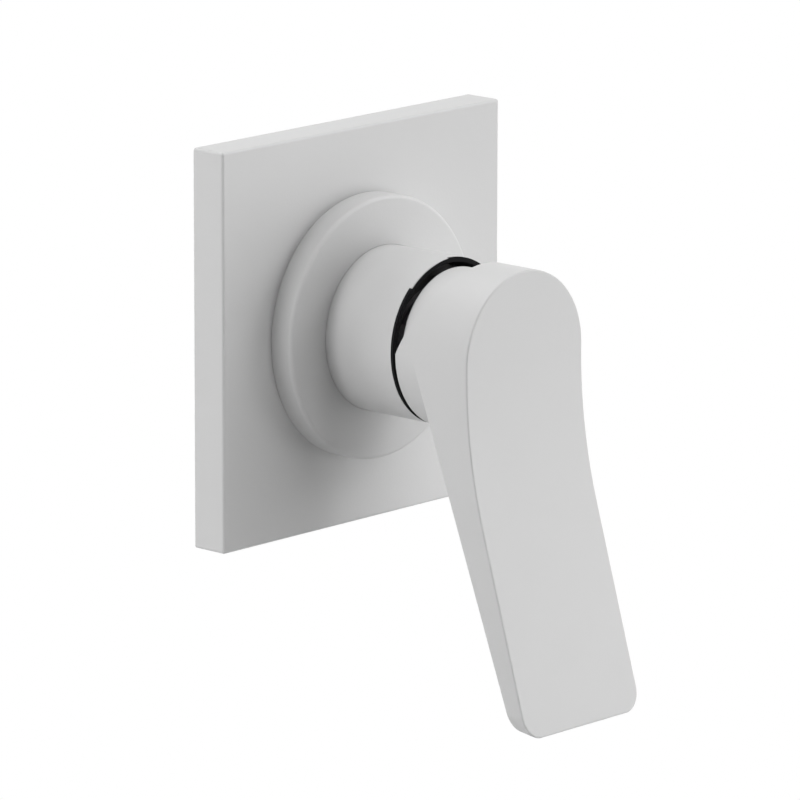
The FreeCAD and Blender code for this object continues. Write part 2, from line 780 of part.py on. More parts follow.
def draw_top_waste(sketch):
    """What stands outside the round top of the lever: a box with the hub's half circle cut out of it."""
    reach = add(HUB_R, size("overrun"))
    corners = [
        (HUB_R, "0"),
        (reach, "0"),
        (reach, reach),
        (minus(reach), reach),
        (minus(reach), "0"),
        (minus(HUB_R), "0"),
    ]
    places = [FreeCAD.Vector(number(x), number(y), 0) for x, y in corners]
    for start, end in zip(places, places[1:]):
        sketch.addGeometry(Part.LineSegment(start, end))
    circle = Part.Circle(FreeCAD.Vector(0, 0, 0), FreeCAD.Vector(0, 0, 1), number(HUB_R))
    ends = circle.parameter(places[0]), circle.parameter(places[-1])
    arc = sketch.addGeometry(Part.ArcOfCircle(circle, *ends))
    for index in range(arc - 1):
        sketch.addConstraint(Sketcher.Constraint("Coincident", index, 2, index + 1, 1))
    sketch.addConstraint(Sketcher.Constraint("Coincident", arc, 1, 0, 1))
    sketch.addConstraint(Sketcher.Constraint("Coincident", arc, 2, arc - 1, 2))
    sketch.addConstraint(Sketcher.Constraint("Coincident", arc, 3, -1, 1))
    hold(sketch, Sketcher.Constraint("Radius", arc, number(HUB_R)), HUB_R)
    for index, (x, y) in enumerate(corners[1:-1], start=1):
        hold_point(sketch, index, 1, x, y)
    sketch.addConstraint(Sketcher.Constraint("PointOnObject", 0, 1, -1))
    sketch.addConstraint(Sketcher.Constraint("PointOnObject", arc - 1, 2, -1))


def front_rim(shape):
    """Names of the edges round the blade's front: each belongs to just one of the faces there."""

    def faces_out(face):
        u_low, u_high, v_low, v_high = face.ParameterRange
        normal = face.normalAt((u_low + u_high) / 2, (v_low + v_high) / 2)
        return normal.z > abs(normal.x) and normal.z > abs(normal.y)

    rims = [edge for face in shape.Faces if faces_out(face) for edge in face.Edges]
    return edge_names(shape, lambda edge: sum(edge.isSame(rim) for rim in rims) == 1)


def add_hub(body):
    hub = new_sketch(body, "XY_Plane", "hub_circle", HUB_REAR)
    draw_circle(hub, HUB_R)
    pad(body, hub, less(BLADE_MIDDLE, HUB_REAR))
    relief = new_sketch(body, "YZ_Plane", "hub_relief")
    top = add(HUB_R, size("overrun"))
    below = less(HUB_REAR, size("overrun"))
    draw_outline(relief, [
        ("0", HUB_REAR),
        (top, add(HUB_REAR, times(RELIEF_TAN, top))),
        (top, below),
        ("0", below),
    ])
    pocket(body, relief, add(top, top), symmetric=True)
    turned(body, "collar_section", [
        ("0", COLLAR_REAR),
        (less(COLLAR_R, size("collar_bevel")), COLLAR_REAR),
        (COLLAR_R, add(COLLAR_REAR, size("collar_bevel"))),
        (COLLAR_R, BLADE_MIDDLE),
        ("0", BLADE_MIDDLE),
    ])
    bore = new_sketch(body, "XY_Plane", "handle_bore", COLLAR_REAR)
    draw_circle(bore, HANDLE_BORE_R)
    pocket(body, bore, less(BORE_FLOOR, COLLAR_REAR), forward=True)


def make_handle():
    body = new_body("handle")
    add_blade(body)
    add_hub(body)
    socket = new_sketch(body, "XY_Plane", "handle_socket", BORE_FLOOR)
    draw_square(socket, add(size("stem_side"), size("socket_play"), size("socket_play")))
    pocket(body, socket, size("socket_depth"), forward=True)
    screw = new_sketch(body, "XZ_Plane", "handle_screw_hole")
    draw_circle(screw, add(HANDLE_SCREW_R, size("handle_screw_fit")), "0", HANDLE_SCREW_OUT)
    pocket(body, screw, PLUG_FLOOR, forward=True)
    recess = new_sketch(body, "XZ_Plane", "handle_plug_recess", PLUG_FLOOR)
    draw_circle(recess, add(half(size("plug_across")), size("plug_play")), "0", HANDLE_SCREW_OUT)
    pocket(body, recess, add(size("plug_depth"), size("overrun")), forward=True)


def make_handle_screw():
    body = new_body("handle_screw")
    start = half(size("stem_side"))
    shank = new_sketch(body, "XZ_Plane", "grub_circle", start)
    draw_circle(shank, HANDLE_SCREW_R, "0", HANDLE_SCREW_OUT)
    pad(body, shank, size("handle_screw_length"))
    drive = new_sketch(body, "XZ_Plane", "grub_drive", add(start, size("handle_screw_length")))
    draw_hexagon(drive, size("handle_screw_drive"), "0", HANDLE_SCREW_OUT)
    pocket(body, drive, size("handle_screw_drive_depth"))


def make_handle_plug():
    """A plug whose outer end is flush with the hub's round side."""
    body = new_body("handle_plug")
    stem = new_sketch(body, "XZ_Plane", "plug_circle", PLUG_FLOOR)
    draw_circle(stem, half(size("plug_across")), "0", HANDLE_SCREW_OUT)
    pad(body, stem, add(size("plug_depth"), size("overrun")))
    outside = new_sketch(body, "XY_Plane", "plug_outside")
    draw_circle(outside, HUB_R)
    draw_circle(outside, add(HUB_R, size("overrun"), size("overrun")))
    pocket(body, outside, forward=True)


# Cartridge, from the seat outwards.


def make_cartridge_base():
    body = new_body("cartridge_base")
    disc = new_sketch(body, "XY_Plane", "base_disc", SEAT)
    draw_circle(disc, CARTRIDGE_R)
    draw_circles(disc, PORT_R, PORT_PLACES)
    pad(body, disc, size("base_height"))
    seats = new_sketch(body, "XY_Plane", "seal_seats", SEAT)
    draw_circles(seats, add(SEAL_R, size("seal_play")), PORT_PLACES)
    pocket(body, seats, size("seal_height"), forward=True)
    pegs = new_sketch(body, "XY_Plane", "base_pegs", SEAT)
    draw_circles(pegs, half(size("peg_across")), PEG_PLACES)
    pad(body, pegs, size("peg_length"), backward=True)


def make_port_seals():
    seals = []
    for index, (x, y) in enumerate(PORT_PLACES, start=1):
        name = f"port_seal_{index}"
        outer = primitive("Part::Cylinder", name + "_outer", Radius=SEAL_R, Height=size("seal_height"))
        bore_r = add(PORT_R, size("seal_play"))
        bore = primitive("Part::Cylinder", name + "_bore", Radius=bore_r, Height=size("seal_height"))
        seal = joined("Part::Cut", name, Base=outer, Tool=bore)
        move_to(seal, x, y, SEAT)
        seals.append(seal)
    group("port_seals", seals)


def make_fixed_disc():
    body = new_body("fixed_disc")
    disc = new_sketch(body, "XY_Plane", "fixed_circle", FIXED_BOTTOM)
    draw_circle(disc, less(HOUSING_BORE_R, size("fixed_disc_room")))
    draw_circles(disc, half(size("disc_port_across")), PORT_PLACES)
    pad(body, disc, size("fixed_disc_height"))


def make_moving_disc():
    """At rest it stands half its travel above the axis, and goes as far below it at full lift."""
    body = new_body("moving_disc")
    disc = new_sketch(body, "XY_Plane", "moving_circle", MOVING_BOTTOM)
    draw_circle(disc, MOVING_DISC_R, "0", half(TRAVEL))
    pad(body, disc, size("moving_disc_height"))
    chamber = new_sketch(body, "XY_Plane", "mixing_chamber", MOVING_BOTTOM)
    draw_circle(chamber, less(MOVING_DISC_R, size("chamber_wall")), "0", half(TRAVEL))
    pocket(body, chamber, size("chamber_depth"), forward=True)


def make_disc_carrier():
    body = new_body("disc_carrier")
    rim_back = less(MOVING_TOP, size("carrier_rim_depth"))
    plate = new_sketch(body, "XY_Plane", "carrier_plate", rim_back)
    draw_circle(plate, add(CARRIER_BORE_R, size("carrier_rim")), "0", half(TRAVEL))
    pad(body, plate, less(CARRIER_TOP, rim_back))
    seat = new_sketch(body, "XY_Plane", "carrier_seat", rim_back)
    draw_circle(seat, CARRIER_BORE_R, "0", half(TRAVEL))
    pocket(body, seat, size("carrier_rim_depth"), forward=True)
    boss = new_sketch(body, "XY_Plane", "carrier_block", CARRIER_TOP)
    draw_square(boss, size("carrier_boss"))
    pad(body, boss, less(BOSS_TOP, CARRIER_TOP))
    socket = new_sketch(body, "XY_Plane", "ball_socket", CARRIER_TOP)
    draw_circle(socket, add(half(size("ball_across")), size("ball_play")))
    pocket(body, socket, forward=True)


def make_turret():
    body = new_body("turret")
    turned(body, "turret_section", [
        ("0", TURRET_BOTTOM),
        (TURRET_FLANGE_R, TURRET_BOTTOM),
        (TURRET_FLANGE_R, TURRET_SHOULDER),
        (TURRET_NECK_R, TURRET_SHOULDER),
        (TURRET_NECK_R, less(TURRET_FRONT, size("turret_chamfer"))),
        (less(TURRET_NECK_R, size("turret_chamfer")), TURRET_FRONT),
        ("0", TURRET_FRONT),
    ])
    sector(
        body,
        "PartDesign::AdditiveCylinder",
        "turret_lug",
        add(TURRET_NECK_R, size("lug_reach")),
        add(COVER_TOP, size("turret_gap")),
        size("lug_height"),
        less(f"{QUARTER_TURN}", half(size("lug_angle"))),
        size("lug_angle"),
    )
    cut_boss_slot(body)
    cut_stem_slot(body)
    pin = new_sketch(body, "YZ_Plane", "turret_pin_hole")
    draw_circle(pin, add(PIN_R, size("pin_fit")), "0", PIVOT)
    pocket(body, pin, add(TURRET_FLANGE_R, TURRET_FLANGE_R), symmetric=True)


def cut_boss_slot(body):
    """Room for the carrier's boss to slide down by its travel."""
    slot = new_sketch(body, "XY_Plane", "turret_boss_slot", TURRET_BOTTOM)
    boss_half = half(size("carrier_boss"))
    side = add(boss_half, size("boss_play"))
    end = add(boss_half, size("boss_end_play"))
    draw_rectangle(slot, minus(side), minus(add(end, TRAVEL)), side, end)
    pocket(body, slot, less(BOSS_SLOT_TOP, TURRET_BOTTOM), forward=True)


def cut_stem_slot(body):
    """Room for the stem to tilt: its ball down behind the pivot, its square bar up ahead of it."""
    slot = new_sketch(body, "XY_Plane", "turret_stem_slot", TURRET_FRONT)
    bar_half = half(size("stem_side"))
    side = add(bar_half, size("stem_slot_play"))
    bar_rise = times(size("turret_nose"), LIFT_TAN)
    low = add(TRAVEL, half(size("ball_across")), size("stem_slot_room"))
    high = add(f"({bar_half} / {LIFT_COS})", bar_rise, size("stem_slot_room"))
    draw_rectangle(slot, minus(side), minus(low), side, high)
    pocket(body, slot, less(TURRET_FRONT, BOSS_SLOT_TOP))


def make_pivot_pin():
    body = new_body("pivot_pin")
    circle = new_sketch(body, "YZ_Plane", "pin_circle")
    draw_circle(circle, PIN_R, "0", PIVOT)
    reach = less(TURRET_NECK_R, size("pin_inset"))
    pad(body, circle, add(reach, reach), symmetric=True)


def make_lever_stem():
    body = new_body("lever_stem")
    bar_back = less(PIVOT, size("stem_back"))
    bar = new_sketch(body, "XY_Plane", "stem_bar", bar_back)
    draw_square(bar, size("stem_side"))
    pad(body, bar, less(SOCKET_FLOOR, size("stem_end_room"), bar_back))
    shank = new_sketch(body, "XY_Plane", "stem_shank", bar_back)
    draw_circle(shank, half(size("shank_across")))
    pad(body, shank, less(bar_back, BALL), backward=True)
    ball = body.newObject("PartDesign::AdditiveSphere", "stem_ball")
    ball.setExpression("Radius", half(size("ball_across")))
    ball.setExpression("Placement.Base.z", BALL)
    doc.recompute()
    hole = new_sketch(body, "YZ_Plane", "stem_pin_hole")
    draw_circle(hole, add(PIN_R, size("pin_running_play")), "0", PIVOT)
    pocket(body, hole, add(size("stem_side"), size("overrun")), symmetric=True)


def make_cartridge_housing():
    body = new_body("cartridge_housing")
    turned(body, "housing_section", [
        (HOUSING_BORE_R, FIXED_BOTTOM),
        (CARTRIDGE_R, FIXED_BOTTOM),
        (CARTRIDGE_R, SHOULDER),
        (HOUSING_NOSE_R, SHOULDER),
        (HOUSING_NOSE_R, COVER_TOP),
        (COVER_HOLE_R, COVER_TOP),
        (COVER_HOLE_R, COVER_BOTTOM),
        (HOUSING_BORE_R, COVER_BOTTOM),
    ])


def make_temperature_stop():
    """A ring with a gap at the top, whose ends stop the turret's lug."""
    body = new_body("temperature_stop")
    front = add(COVER_TOP, size("stop_height"))
    inner = add(TURRET_NECK_R, size("stop_play"))
    outer = less(HOUSING_NOSE_R, size("stop_inset"))
    turned(body, "stop_section", [(inner, COVER_TOP), (outer, COVER_TOP), (outer, front), (inner, front)])
    before = body.Shape.Volume
    sector(
        body,
        "PartDesign::SubtractiveCylinder",
        "stop_gap",
        add(outer, size("overrun")),
        less(COVER_TOP, size("overrun")),
        add(size("stop_height"), size("overrun"), size("overrun")),
        less(f"{QUARTER_TURN}", half(size("stop_gap_angle"))),
        size("stop_gap_angle"),
    )
    check_cut(body, before, "stop_gap")


def make_cartridge_nut():
    """A ring nut inside the cup's mouth, with a flange over the end of the cup."""
    body = new_body("cartridge_nut")
    turned(body, "nut_section", [
        (NUT_BORE_R, SHOULDER),
        (NUT_R, SHOULDER),
        (NUT_R, NUT_FLANGE_BACK),
        (NOSE_R, NUT_FLANGE_BACK),
        (NOSE_R, NUT_FRONT),
        (NUT_BORE_R, NUT_FRONT),
    ])
    reach = add(NUT_BORE_R, size("nut_slot_reach"))
    width = half(size("nut_slot"))
    for name, across, up in (("nut_slots_level", reach, width), ("nut_slots_upright", width, reach)):
        slots = new_sketch(body, "XY_Plane", name, NUT_FRONT)
        draw_rectangle(slots, minus(across), minus(up), across, up)
        pocket(body, slots, size("nut_slot_depth"))


# Valve body and the bracket behind it.


def make_valve_body():
    body = new_body("valve_body")
    thread_r = add(NUT_R, size("thread_play"))
    thread_back = less(SHOULDER, size("nut_relief"))
    turned(body, "body_section", [
        ("0", BODY_REAR),
        (BODY_R, BODY_REAR),
        (BODY_R, NECK_BACK),
        (NOSE_R, NECK_BACK),
        (NOSE_R, NOSE_FRONT),
        (thread_r, NOSE_FRONT),
        (thread_r, thread_back),
        (CUP_R, thread_back),
        (CUP_R, SEAT),
        ("0", SEAT),
    ])
    inlets = new_sketch(body, "YZ_Plane", "inlet_bosses")
    draw_circle(inlets, INLET_BOSS_R, "0", INLET_AXIS)
    pad(body, inlets, add(INLET_REACH, INLET_REACH), symmetric=True)
    outlet = new_sketch(body, "XZ_Plane", "outlet_boss")
    draw_circle(outlet, INLET_BOSS_R, "0", INLET_AXIS)
    pad(body, outlet, OUTLET_REACH, backward=True)
    cut_connections(body)
    cut_cup_floor(body)
    holes = new_sketch(body, "XY_Plane", "bracket_screw_seats", BODY_REAR)
    draw_circles(holes, add(BRACKET_SCREW_R, size("screw_play")), BRACKET_SCREW_PLACES)
    grip = less(size("bracket_screw_length"), size("bracket_thickness"))
    pocket(body, holes, add(grip, size("screw_end_room")), forward=True)


def cut_connections(body):
    """Threaded sockets for the supply and the shower, each with a waterway from its floor inwards."""
    ways = [
        ("hot_inlet", "YZ_Plane", minus(INLET_REACH), INLET_REACH, "inlet_land", True),
        ("cold_inlet", "YZ_Plane", INLET_REACH, INLET_REACH, "inlet_land", False),
        ("shower_outlet", "XZ_Plane", minus(OUTLET_REACH), OUTLET_REACH, "outlet_land", True),
    ]
    for name, role, mouth, reach, land, forward in ways:
        socket = new_sketch(body, role, name + "_socket", mouth)
        draw_circle(socket, INLET_THREAD_R, "0", INLET_AXIS)
        pocket(body, socket, size("inlet_thread_depth"), forward)
        way = new_sketch(body, role, name + "_way", mouth)
        draw_circle(way, WATERWAY_R, "0", INLET_AXIS)
        pocket(body, way, less(reach, size(land)), forward)


def cut_cup_floor(body):
    """Ports from the cup's floor down to the waterways, and blind holes for the base's pegs."""
    ports = new_sketch(body, "XY_Plane", "cup_ports", SEAT)
    draw_circles(ports, PORT_R, PORT_PLACES)
    pocket(body, ports, less(SEAT, INLET_AXIS))
    pegs = new_sketch(body, "XY_Plane", "cup_peg_holes", SEAT)
    draw_circles(pegs, add(half(size("peg_across")), size("peg_play")), PEG_PLACES)
    pocket(body, pegs, add(size("peg_length"), size("peg_play")))


def make_mounting_bracket():
    body = new_body("mounting_bracket")
    strap = new_sketch(body, "XY_Plane", "bracket_strap", BRACKET_REAR)
    side = half(size("bracket_width"))
    top = half(size("bracket_height"))
    draw_rectangle(strap, minus(side), minus(top), side, top)
    pad(body, strap, size("bracket_thickness"))

    thickness = number(size("bracket_thickness"))
    rounded(
        body,
        "bracket_corners",
        lambda edge: near(edge.BoundBox.ZLength, thickness),
        size("bracket_corner"),
    )
    wall_holes = new_sketch(body, "XY_Plane", "wall_holes", BRACKET_REAR)
    across = less(side, size("wall_hole_margin"))
    up = less(top, size("wall_hole_margin"))
    corners = [(across, up), (minus(across), up), (minus(across), minus(up)), (across, minus(up))]
    draw_circles(wall_holes, half(size("wall_hole")), corners)
    pocket(body, wall_holes, forward=True)
    screw_holes(body, "bracket_screw_holes", "bracket_screw", BRACKET_SCREW_PLACES, BRACKET_REAR)


make_wall_plate()
make_plate_gasket()
make_cover_disc()
screw_group("disc_screws", "disc_screw", DISC_SCREW_PLACES, PLATE_FLOOR)
make_disc_oring()
make_neck_sleeve()
make_glide_ring()
make_handle()
make_handle_screw()
make_handle_plug()
make_lever_stem()
make_pivot_pin()
make_turret()
make_temperature_stop()
make_cartridge_housing()
make_cartridge_base()
make_port_seals()
make_fixed_disc()
make_moving_disc()
make_disc_carrier()
make_cartridge_nut()
make_valve_body()
make_mounting_bracket()
screw_group("bracket_screws", "bracket_screw", BRACKET_SCREW_PLACES, BRACKET_REAR)
doc.recompute()

for item in doc.Objects:
    if "Invalid" in item.State or "Error" in item.State:
        raise ValueError(f"{item.Name} failed: {item.State}")
for item in subparts:
    if item.Shape.isNull() or not item.Shape.isValid():
        raise ValueError(f"{item.Label} has no valid shape")

os.makedirs("parts", exist_ok=True)
for item in subparts:
    item.Shape.exportStep(f"parts/{item.Label}.step")
    print(item.Label, len(item.Shape.Solids), round(item.Shape.Volume, 1))
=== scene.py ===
"""Looks of the wall-mounted shower mixer: fine meshes, finishes, light and the photograph's camera."""
import json
import math

import bmesh
import bpy
from mathutils import Matrix, Vector


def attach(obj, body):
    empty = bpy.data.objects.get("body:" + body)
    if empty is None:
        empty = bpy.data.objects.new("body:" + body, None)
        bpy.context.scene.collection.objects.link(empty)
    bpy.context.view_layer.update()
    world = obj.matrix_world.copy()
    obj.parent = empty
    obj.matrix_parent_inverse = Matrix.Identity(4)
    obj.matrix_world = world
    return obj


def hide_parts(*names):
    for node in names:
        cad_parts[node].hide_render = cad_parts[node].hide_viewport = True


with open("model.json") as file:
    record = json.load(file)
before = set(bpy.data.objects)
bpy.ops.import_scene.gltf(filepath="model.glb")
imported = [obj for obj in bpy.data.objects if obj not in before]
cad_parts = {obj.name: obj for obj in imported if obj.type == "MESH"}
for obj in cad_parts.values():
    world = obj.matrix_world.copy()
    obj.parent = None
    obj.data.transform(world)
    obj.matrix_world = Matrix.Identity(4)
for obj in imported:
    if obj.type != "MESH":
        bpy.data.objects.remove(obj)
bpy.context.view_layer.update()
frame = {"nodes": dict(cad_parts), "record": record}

# Sizes in millimetres: out is the distance from the wall, up is from the plate's middle.
MM = 0.001
TAU = 2 * math.pi
SEGMENTS = 192
SMALL_SEGMENTS = 64
HEX_SIDES = 6
EDGE_STEPS = 6
FINE_EDGE_STEPS = 8
COARSE_EDGE_STEPS = 4
KEY_STEPS = 32
RECTANGLE_CORNER_STEPS = 8
RECTANGLE_SIDE_STEPS = 24
# A rectangle's corners are never sharper than this.
LEAST_CORNER = 0.05
OVERRUN = 2.0
# Points of a cut that lie nearer than this, in metres, become one.
NEAR_M = 1e-6

PLATE_HALF = 55.0
PLATE_FRONT = 11.0
PLATE_FLOOR = 8.0
PLATE_WALL = 2.5
PLATE_EDGE = 0.8
PLATE_HOLE = 24.8
PAN_CORNER = 0.4
GASKET_PLAY = 0.1
GASKET_WIDTH = 6.0
GASKET_EDGE = 0.5
GASKET_EDGE_STEPS = 3

DISC_R = 36.5
DISC_FRONT = 18.35
DISC_EDGE = 1.2
DISC_REAR_EDGE = 0.15
DISC_BORE = 22.95
DISC_BORE_EDGE = 0.1
SPIGOT_R = 24.7
SPIGOT_BACK = 8.2
SPIGOT_EDGE = 0.2
GROOVE_R = 24.76
GROOVE_LOW = 13.475
GROOVE_HIGH = 15.875
DISC_SCREW_PLACE = 21.673
DISC_SCREW_R = 1.5
DISC_SCREW_HEAD = 2.8
DISC_SCREW_LENGTH = 7.0
DISC_SCREW_DRIVE = 1.0
DISC_SCREW_DRIVE_DEPTH = 1.0
SCREW_PLAY = 0.05
SCREW_END_ROOM = 0.6

NECK_R = 22.9
NECK_BORE = 21.7
NECK_BACK = 5.0
NECK_BACK_EDGE = 0.3
NECK_FRONT = 42.2
NECK_RIM_EDGE = 0.1
NECK_RIB_R = 20.45
NECK_RIB_FRONT = 24.0

RING_R = 21.65
RING_FRONT = 43.0
RING_BACK = 37.5
RING_LIP = 0.1
RING_SKIRT = 1.25
RING_EDGE = 0.12
NOTCH_START = math.radians(92.0)
NOTCH_END = math.radians(132.6)
KEY_DEPTH = 0.3
KEY_EDGE = 0.25
KEY_PLAY = 0.05
# The key runs out towards the top over this angle.
KEY_RUN_OUT = math.radians(16.0)
KEY_LEAST = 0.04

HUB_R = 23.2
HUB_REAR = 44.05
HUB_EDGE = 0.3
COLLAR_R = 20.55
COLLAR_REAR = 43.65
COLLAR_EDGE = 1.2
HANDLE_BORE = 18.3
BORE_FLOOR = 52.6
SOCKET_FLOOR = 65.0
SOCKET_HALF = 4.05
RELIEF_TAN = math.tan(math.radians(26.0))
BLADE_FRONT = 70.0
BLADE_MIDDLE = 60.0
BLADE_BACK = 50.0
BLADE_BACK_TAN = math.tan(math.radians(20.76))
BLADE_ANGLE = math.radians(16.55)
BEND_DROP = 22.9
BEND_RADIUS = 143.0
BLADE_LENGTH = 78.9
BLADE_CORNER = 5.9
BLADE_EDGE = 0.5
BLADE_REAR_EDGE = 0.2
BLADE_SIDE_STEPS = 72
BLADE_CORNER_STEPS = 16
TIP_ANGLE = math.radians(8.0)
# The rounding of the tip's sharp front edge takes this much off its length.
TIP_TRIM = 0.09
# A shape is drawn this much inside another where the two would share a surface.
SEAM = 0.02
HANDLE_SCREW_OUT = 55.6
HANDLE_SCREW_R = 2.02
PLUG_R = 2.95
PLUG_PLAY = 0.05
PLUG_FLOOR = 19.5
PLUG_EDGE = 0.2
# The plug's face has points out to this share of its radius, so that it can bend with the hub.
PLUG_FACE_SHARE = 0.9
PLUG_FACE_STEPS = 6

BODY_R = 22.0
BODY_REAR = -26.0
NOSE_R = 20.4
NOSE_FRONT = 35.4
NUT_THREAD_R = 18.95
NUT_THREAD_BACK = 32.8
CUP_R = 17.6
SEAT = 14.0
BODY_EDGE = 0.8
INLET_OUT = -13.0
BOSS_R = 12.5
INLET_REACH = 25.0
OUTLET_REACH = 30.0
INLET_LAND = 5.5
OUTLET_LAND = 6.0
THREAD_INNER = 9.3
THREAD_OUTER = 10.3
THREAD_DEPTH = 12.5
THREAD_PITCH = 1.814
THREAD_STEPS = 8
THREAD_LEAD = 0.3
WATERWAY_R = 4.0
PORT_R = 3.5
PORT_PLACES = [(-8.0, -4.5), (8.0, -4.5), (0.0, 8.505)]

BRACKET_HALF_WIDTH = 15.0
BRACKET_HALF_HEIGHT = 44.0
BRACKET_BACK = -28.5
BRACKET_CORNER = 5.0
BRACKET_EDGE = 0.35
WALL_HOLE_R = 2.75
WALL_HOLE_PLACES = [(9.0, 38.0), (-9.0, 38.0), (-9.0, -38.0), (9.0, -38.0)]
BRACKET_SCREW_UP = 14.0
BRACKET_SCREW_R = 2.5
BRACKET_SCREW_HEAD = 4.5
BRACKET_SCREW_LENGTH = 8.0
BRACKET_SCREW_DRIVE = 1.7
BRACKET_SCREW_DRIVE_DEPTH = 1.6
SCREW_EDGE = 0.15

DISC_SCREW_PLACES = [
    (side * DISC_SCREW_PLACE, level * DISC_SCREW_PLACE) for side in (1, -1) for level in (1, -1)
]
BRACKET_SCREW_PLACES = [(0.0, BRACKET_SCREW_UP), (0.0, -BRACKET_SCREW_UP)]


# Shapes.


def at(x, out, up):
    """A point of the part, from millimetres."""
    return Vector((x * MM, -out * MM, up * MM))


def along_out(p, q, along):
    return at(p, along, q)


def along_out_at(place):
    return lambda p, q, along: at(place[0] + p, along, place[1] + q)


def along_x(p, q, along):
    return at(along, INLET_OUT + p, q)


def along_minus_x(p, q, along):
    return at(-along, INLET_OUT + p, q)


def along_up(p, q, along):
    return at(p, INLET_OUT + q, along)


def from_below(p, q, along):
    return at(p, HANDLE_SCREW_OUT + q, -along)


def spread(start, end, steps):
    return [start + (end - start) * step / steps for step in range(steps + 1)]


def soften(corners, steps=EDGE_STEPS):
    """A closed outline of (a, b, radius) corners, with an arc at each corner that has a radius."""
    points = []
    for index, (a, b, radius) in enumerate(corners):
        here = Vector((a, b))
        if not radius:
            points.append((a, b))
            continue
        before = (Vector(corners[index - 1][:2]) - here).normalized()
        after = (Vector(corners[(index + 1) % len(corners)][:2]) - here).normalized()
        half_angle = before.angle(after) / 2
        reach = radius / math.tan(half_angle)
        middle = here + (before + after).normalized() * (radius / math.sin(half_angle))
        first = here + before * reach - middle
        last = here + after * reach - middle
        turn = first.angle(last)
        for share in spread(0, 1, steps):
            arm = first * math.sin((1 - share) * turn) + last * math.sin(share * turn)
            points.append(tuple(middle + arm / math.sin(turn)))
    return points


def new_object(name, bm):
    bmesh.ops.recalc_face_normals(bm, faces=bm.faces)
    mesh = bpy.data.meshes.new(name)
    bm.to_mesh(mesh)
    bm.free()
    obj = bpy.data.objects.new(name, mesh)
    bpy.context.scene.collection.objects.link(obj)
    return obj


def band(bm, one, two):
    """Faces between two rings; a ring of one point closes an end."""
    count = max(len(one), len(two))
    for index in range(count):
        after = (index + 1) % count
        corners = [one[index % len(one)], one[after % len(one)], two[after % len(two)], two[index % len(two)]]
        corners = list(dict.fromkeys(corners))
        if len(corners) > 2:
            bm.faces.new(corners)


def lathe(name, profile, put=along_out, segments=SEGMENTS):
    """Turns a closed profile of (radius, along) points."""
    bm = bmesh.new()
    rings = []
    for radius, along in profile:
        if radius < MM:
            rings.append([bm.verts.new(put(0, 0, along))])
            continue
        angles = [TAU * step / segments for step in range(segments)]
        rings.append([
            bm.verts.new(put(radius * math.cos(angle), radius * math.sin(angle), along)) for angle in angles
        ])
    for one, two in zip(rings, rings[1:] + rings[:1]):
        band(bm, one, two)
    return new_object(name, bm)


def rod(name, radius, start, end, put=along_out, segments=SMALL_SEGMENTS):
    return lathe(name, [(0, start), (radius, start), (radius, end), (0, end)], put, segments)


def loft(name, rings, closed):
    """Joins rings of points; the ends are filled unless the last ring meets the first."""
    bm = bmesh.new()
    rings = [[bm.verts.new(point) for point in ring] for ring in rings]
    following = rings[1:] + rings[:1] if closed else rings[1:]
    for one, two in zip(rings, following):
        band(bm, one, two)
    if not closed:
        bm.faces.new(rings[0])
        bm.faces.new(rings[-1])
    return new_object(name, bm)


def arc_bar(name, profile_at, start, end):
    """A profile of (radius, along) points, which may change on its way round the axis."""
    rings = []
    for angle in spread(start, end, KEY_STEPS):
        side, rise = math.cos(angle), math.sin(angle)
        rings.append([at(radius * side, along, radius * rise) for radius, along in profile_at(angle)])
    return loft(name, rings, False)


def prism(name, outline, half_width):
    """An outline of (up, out) points, as wide to the left as to the right."""
    sides = [[at(x, out, up) for up, out in outline] for x in (-half_width, half_width)]
    return loft(name, sides, False)


def combine(target, tools, operation):
    """Unites the tools with the target, or cuts them out of it, one by one, and removes them."""
    for tool in tools:
        change = target.modifiers.new("change", "BOOLEAN")
        change.operation = operation
        change.solver = "EXACT"
        change.object = tool
        bpy.context.view_layer.update()
        changed = target.evaluated_get(bpy.context.evaluated_depsgraph_get())
        bm = bmesh.new()
        bm.from_mesh(changed.data)
        bmesh.ops.remove_doubles(bm, verts=bm.verts[:], dist=NEAR_M)
        bmesh.ops.dissolve_degenerate(bm, edges=bm.edges[:], dist=NEAR_M)
        target.modifiers.clear()
        bm.to_mesh(target.data)
        bm.free()
        bpy.data.objects.remove(tool)
    return target


def merge(name, objects):
    """One object from several that don't touch."""
    bm = bmesh.new()
    for obj in objects:
        bm.from_mesh(obj.data)
        bpy.data.objects.remove(obj)
    return new_object(name, bm)


def countersink(place, back, front, radius, head):
    """A cutter for a countersunk screw, with play all round."""
    head += SCREW_PLAY
    radius += SCREW_PLAY
    return lathe("sink", [
        (0, back - OVERRUN),
        (head, back - OVERRUN),
        (head, back),
        (radius, back + head - radius),
        (radius, front + OVERRUN),
        (0, front + OVERRUN),
    ], along_out_at(place), SMALL_SEGMENTS)


def rounded_rectangle(half_width, half_height, corner, out):
    """A ring of points, anticlockwise from the right end of its top corner."""
    corner = max(corner, LEAST_CORNER)
    ring = []
    quarters = [(1, 1), (-1, 1), (-1, -1), (1, -1)]
    for index, (side, level) in enumerate(quarters):
        x = side * (half_width - corner)
        up = level * (half_height - corner)
        for angle in spread(index * TAU / 4, (index + 1) * TAU / 4, RECTANGLE_CORNER_STEPS):
            ring.append((x + corner * math.cos(angle), up + corner * math.sin(angle)))
        next_side, next_level = quarters[(index + 1) % len(quarters)]
        x_end = next_side * (half_width - corner) + corner * math.cos((index + 1) * TAU / 4)
        up_end = next_level * (half_height - corner) + corner * math.sin((index + 1) * TAU / 4)
        start = ring[-1]
        for share in spread(0, 1, RECTANGLE_SIDE_STEPS)[1:-1]:
            ring.append((start[0] + (x_end - start[0]) * share, start[1] + (up_end - start[1]) * share))
    return [at(x, out, up) for x, up in ring]


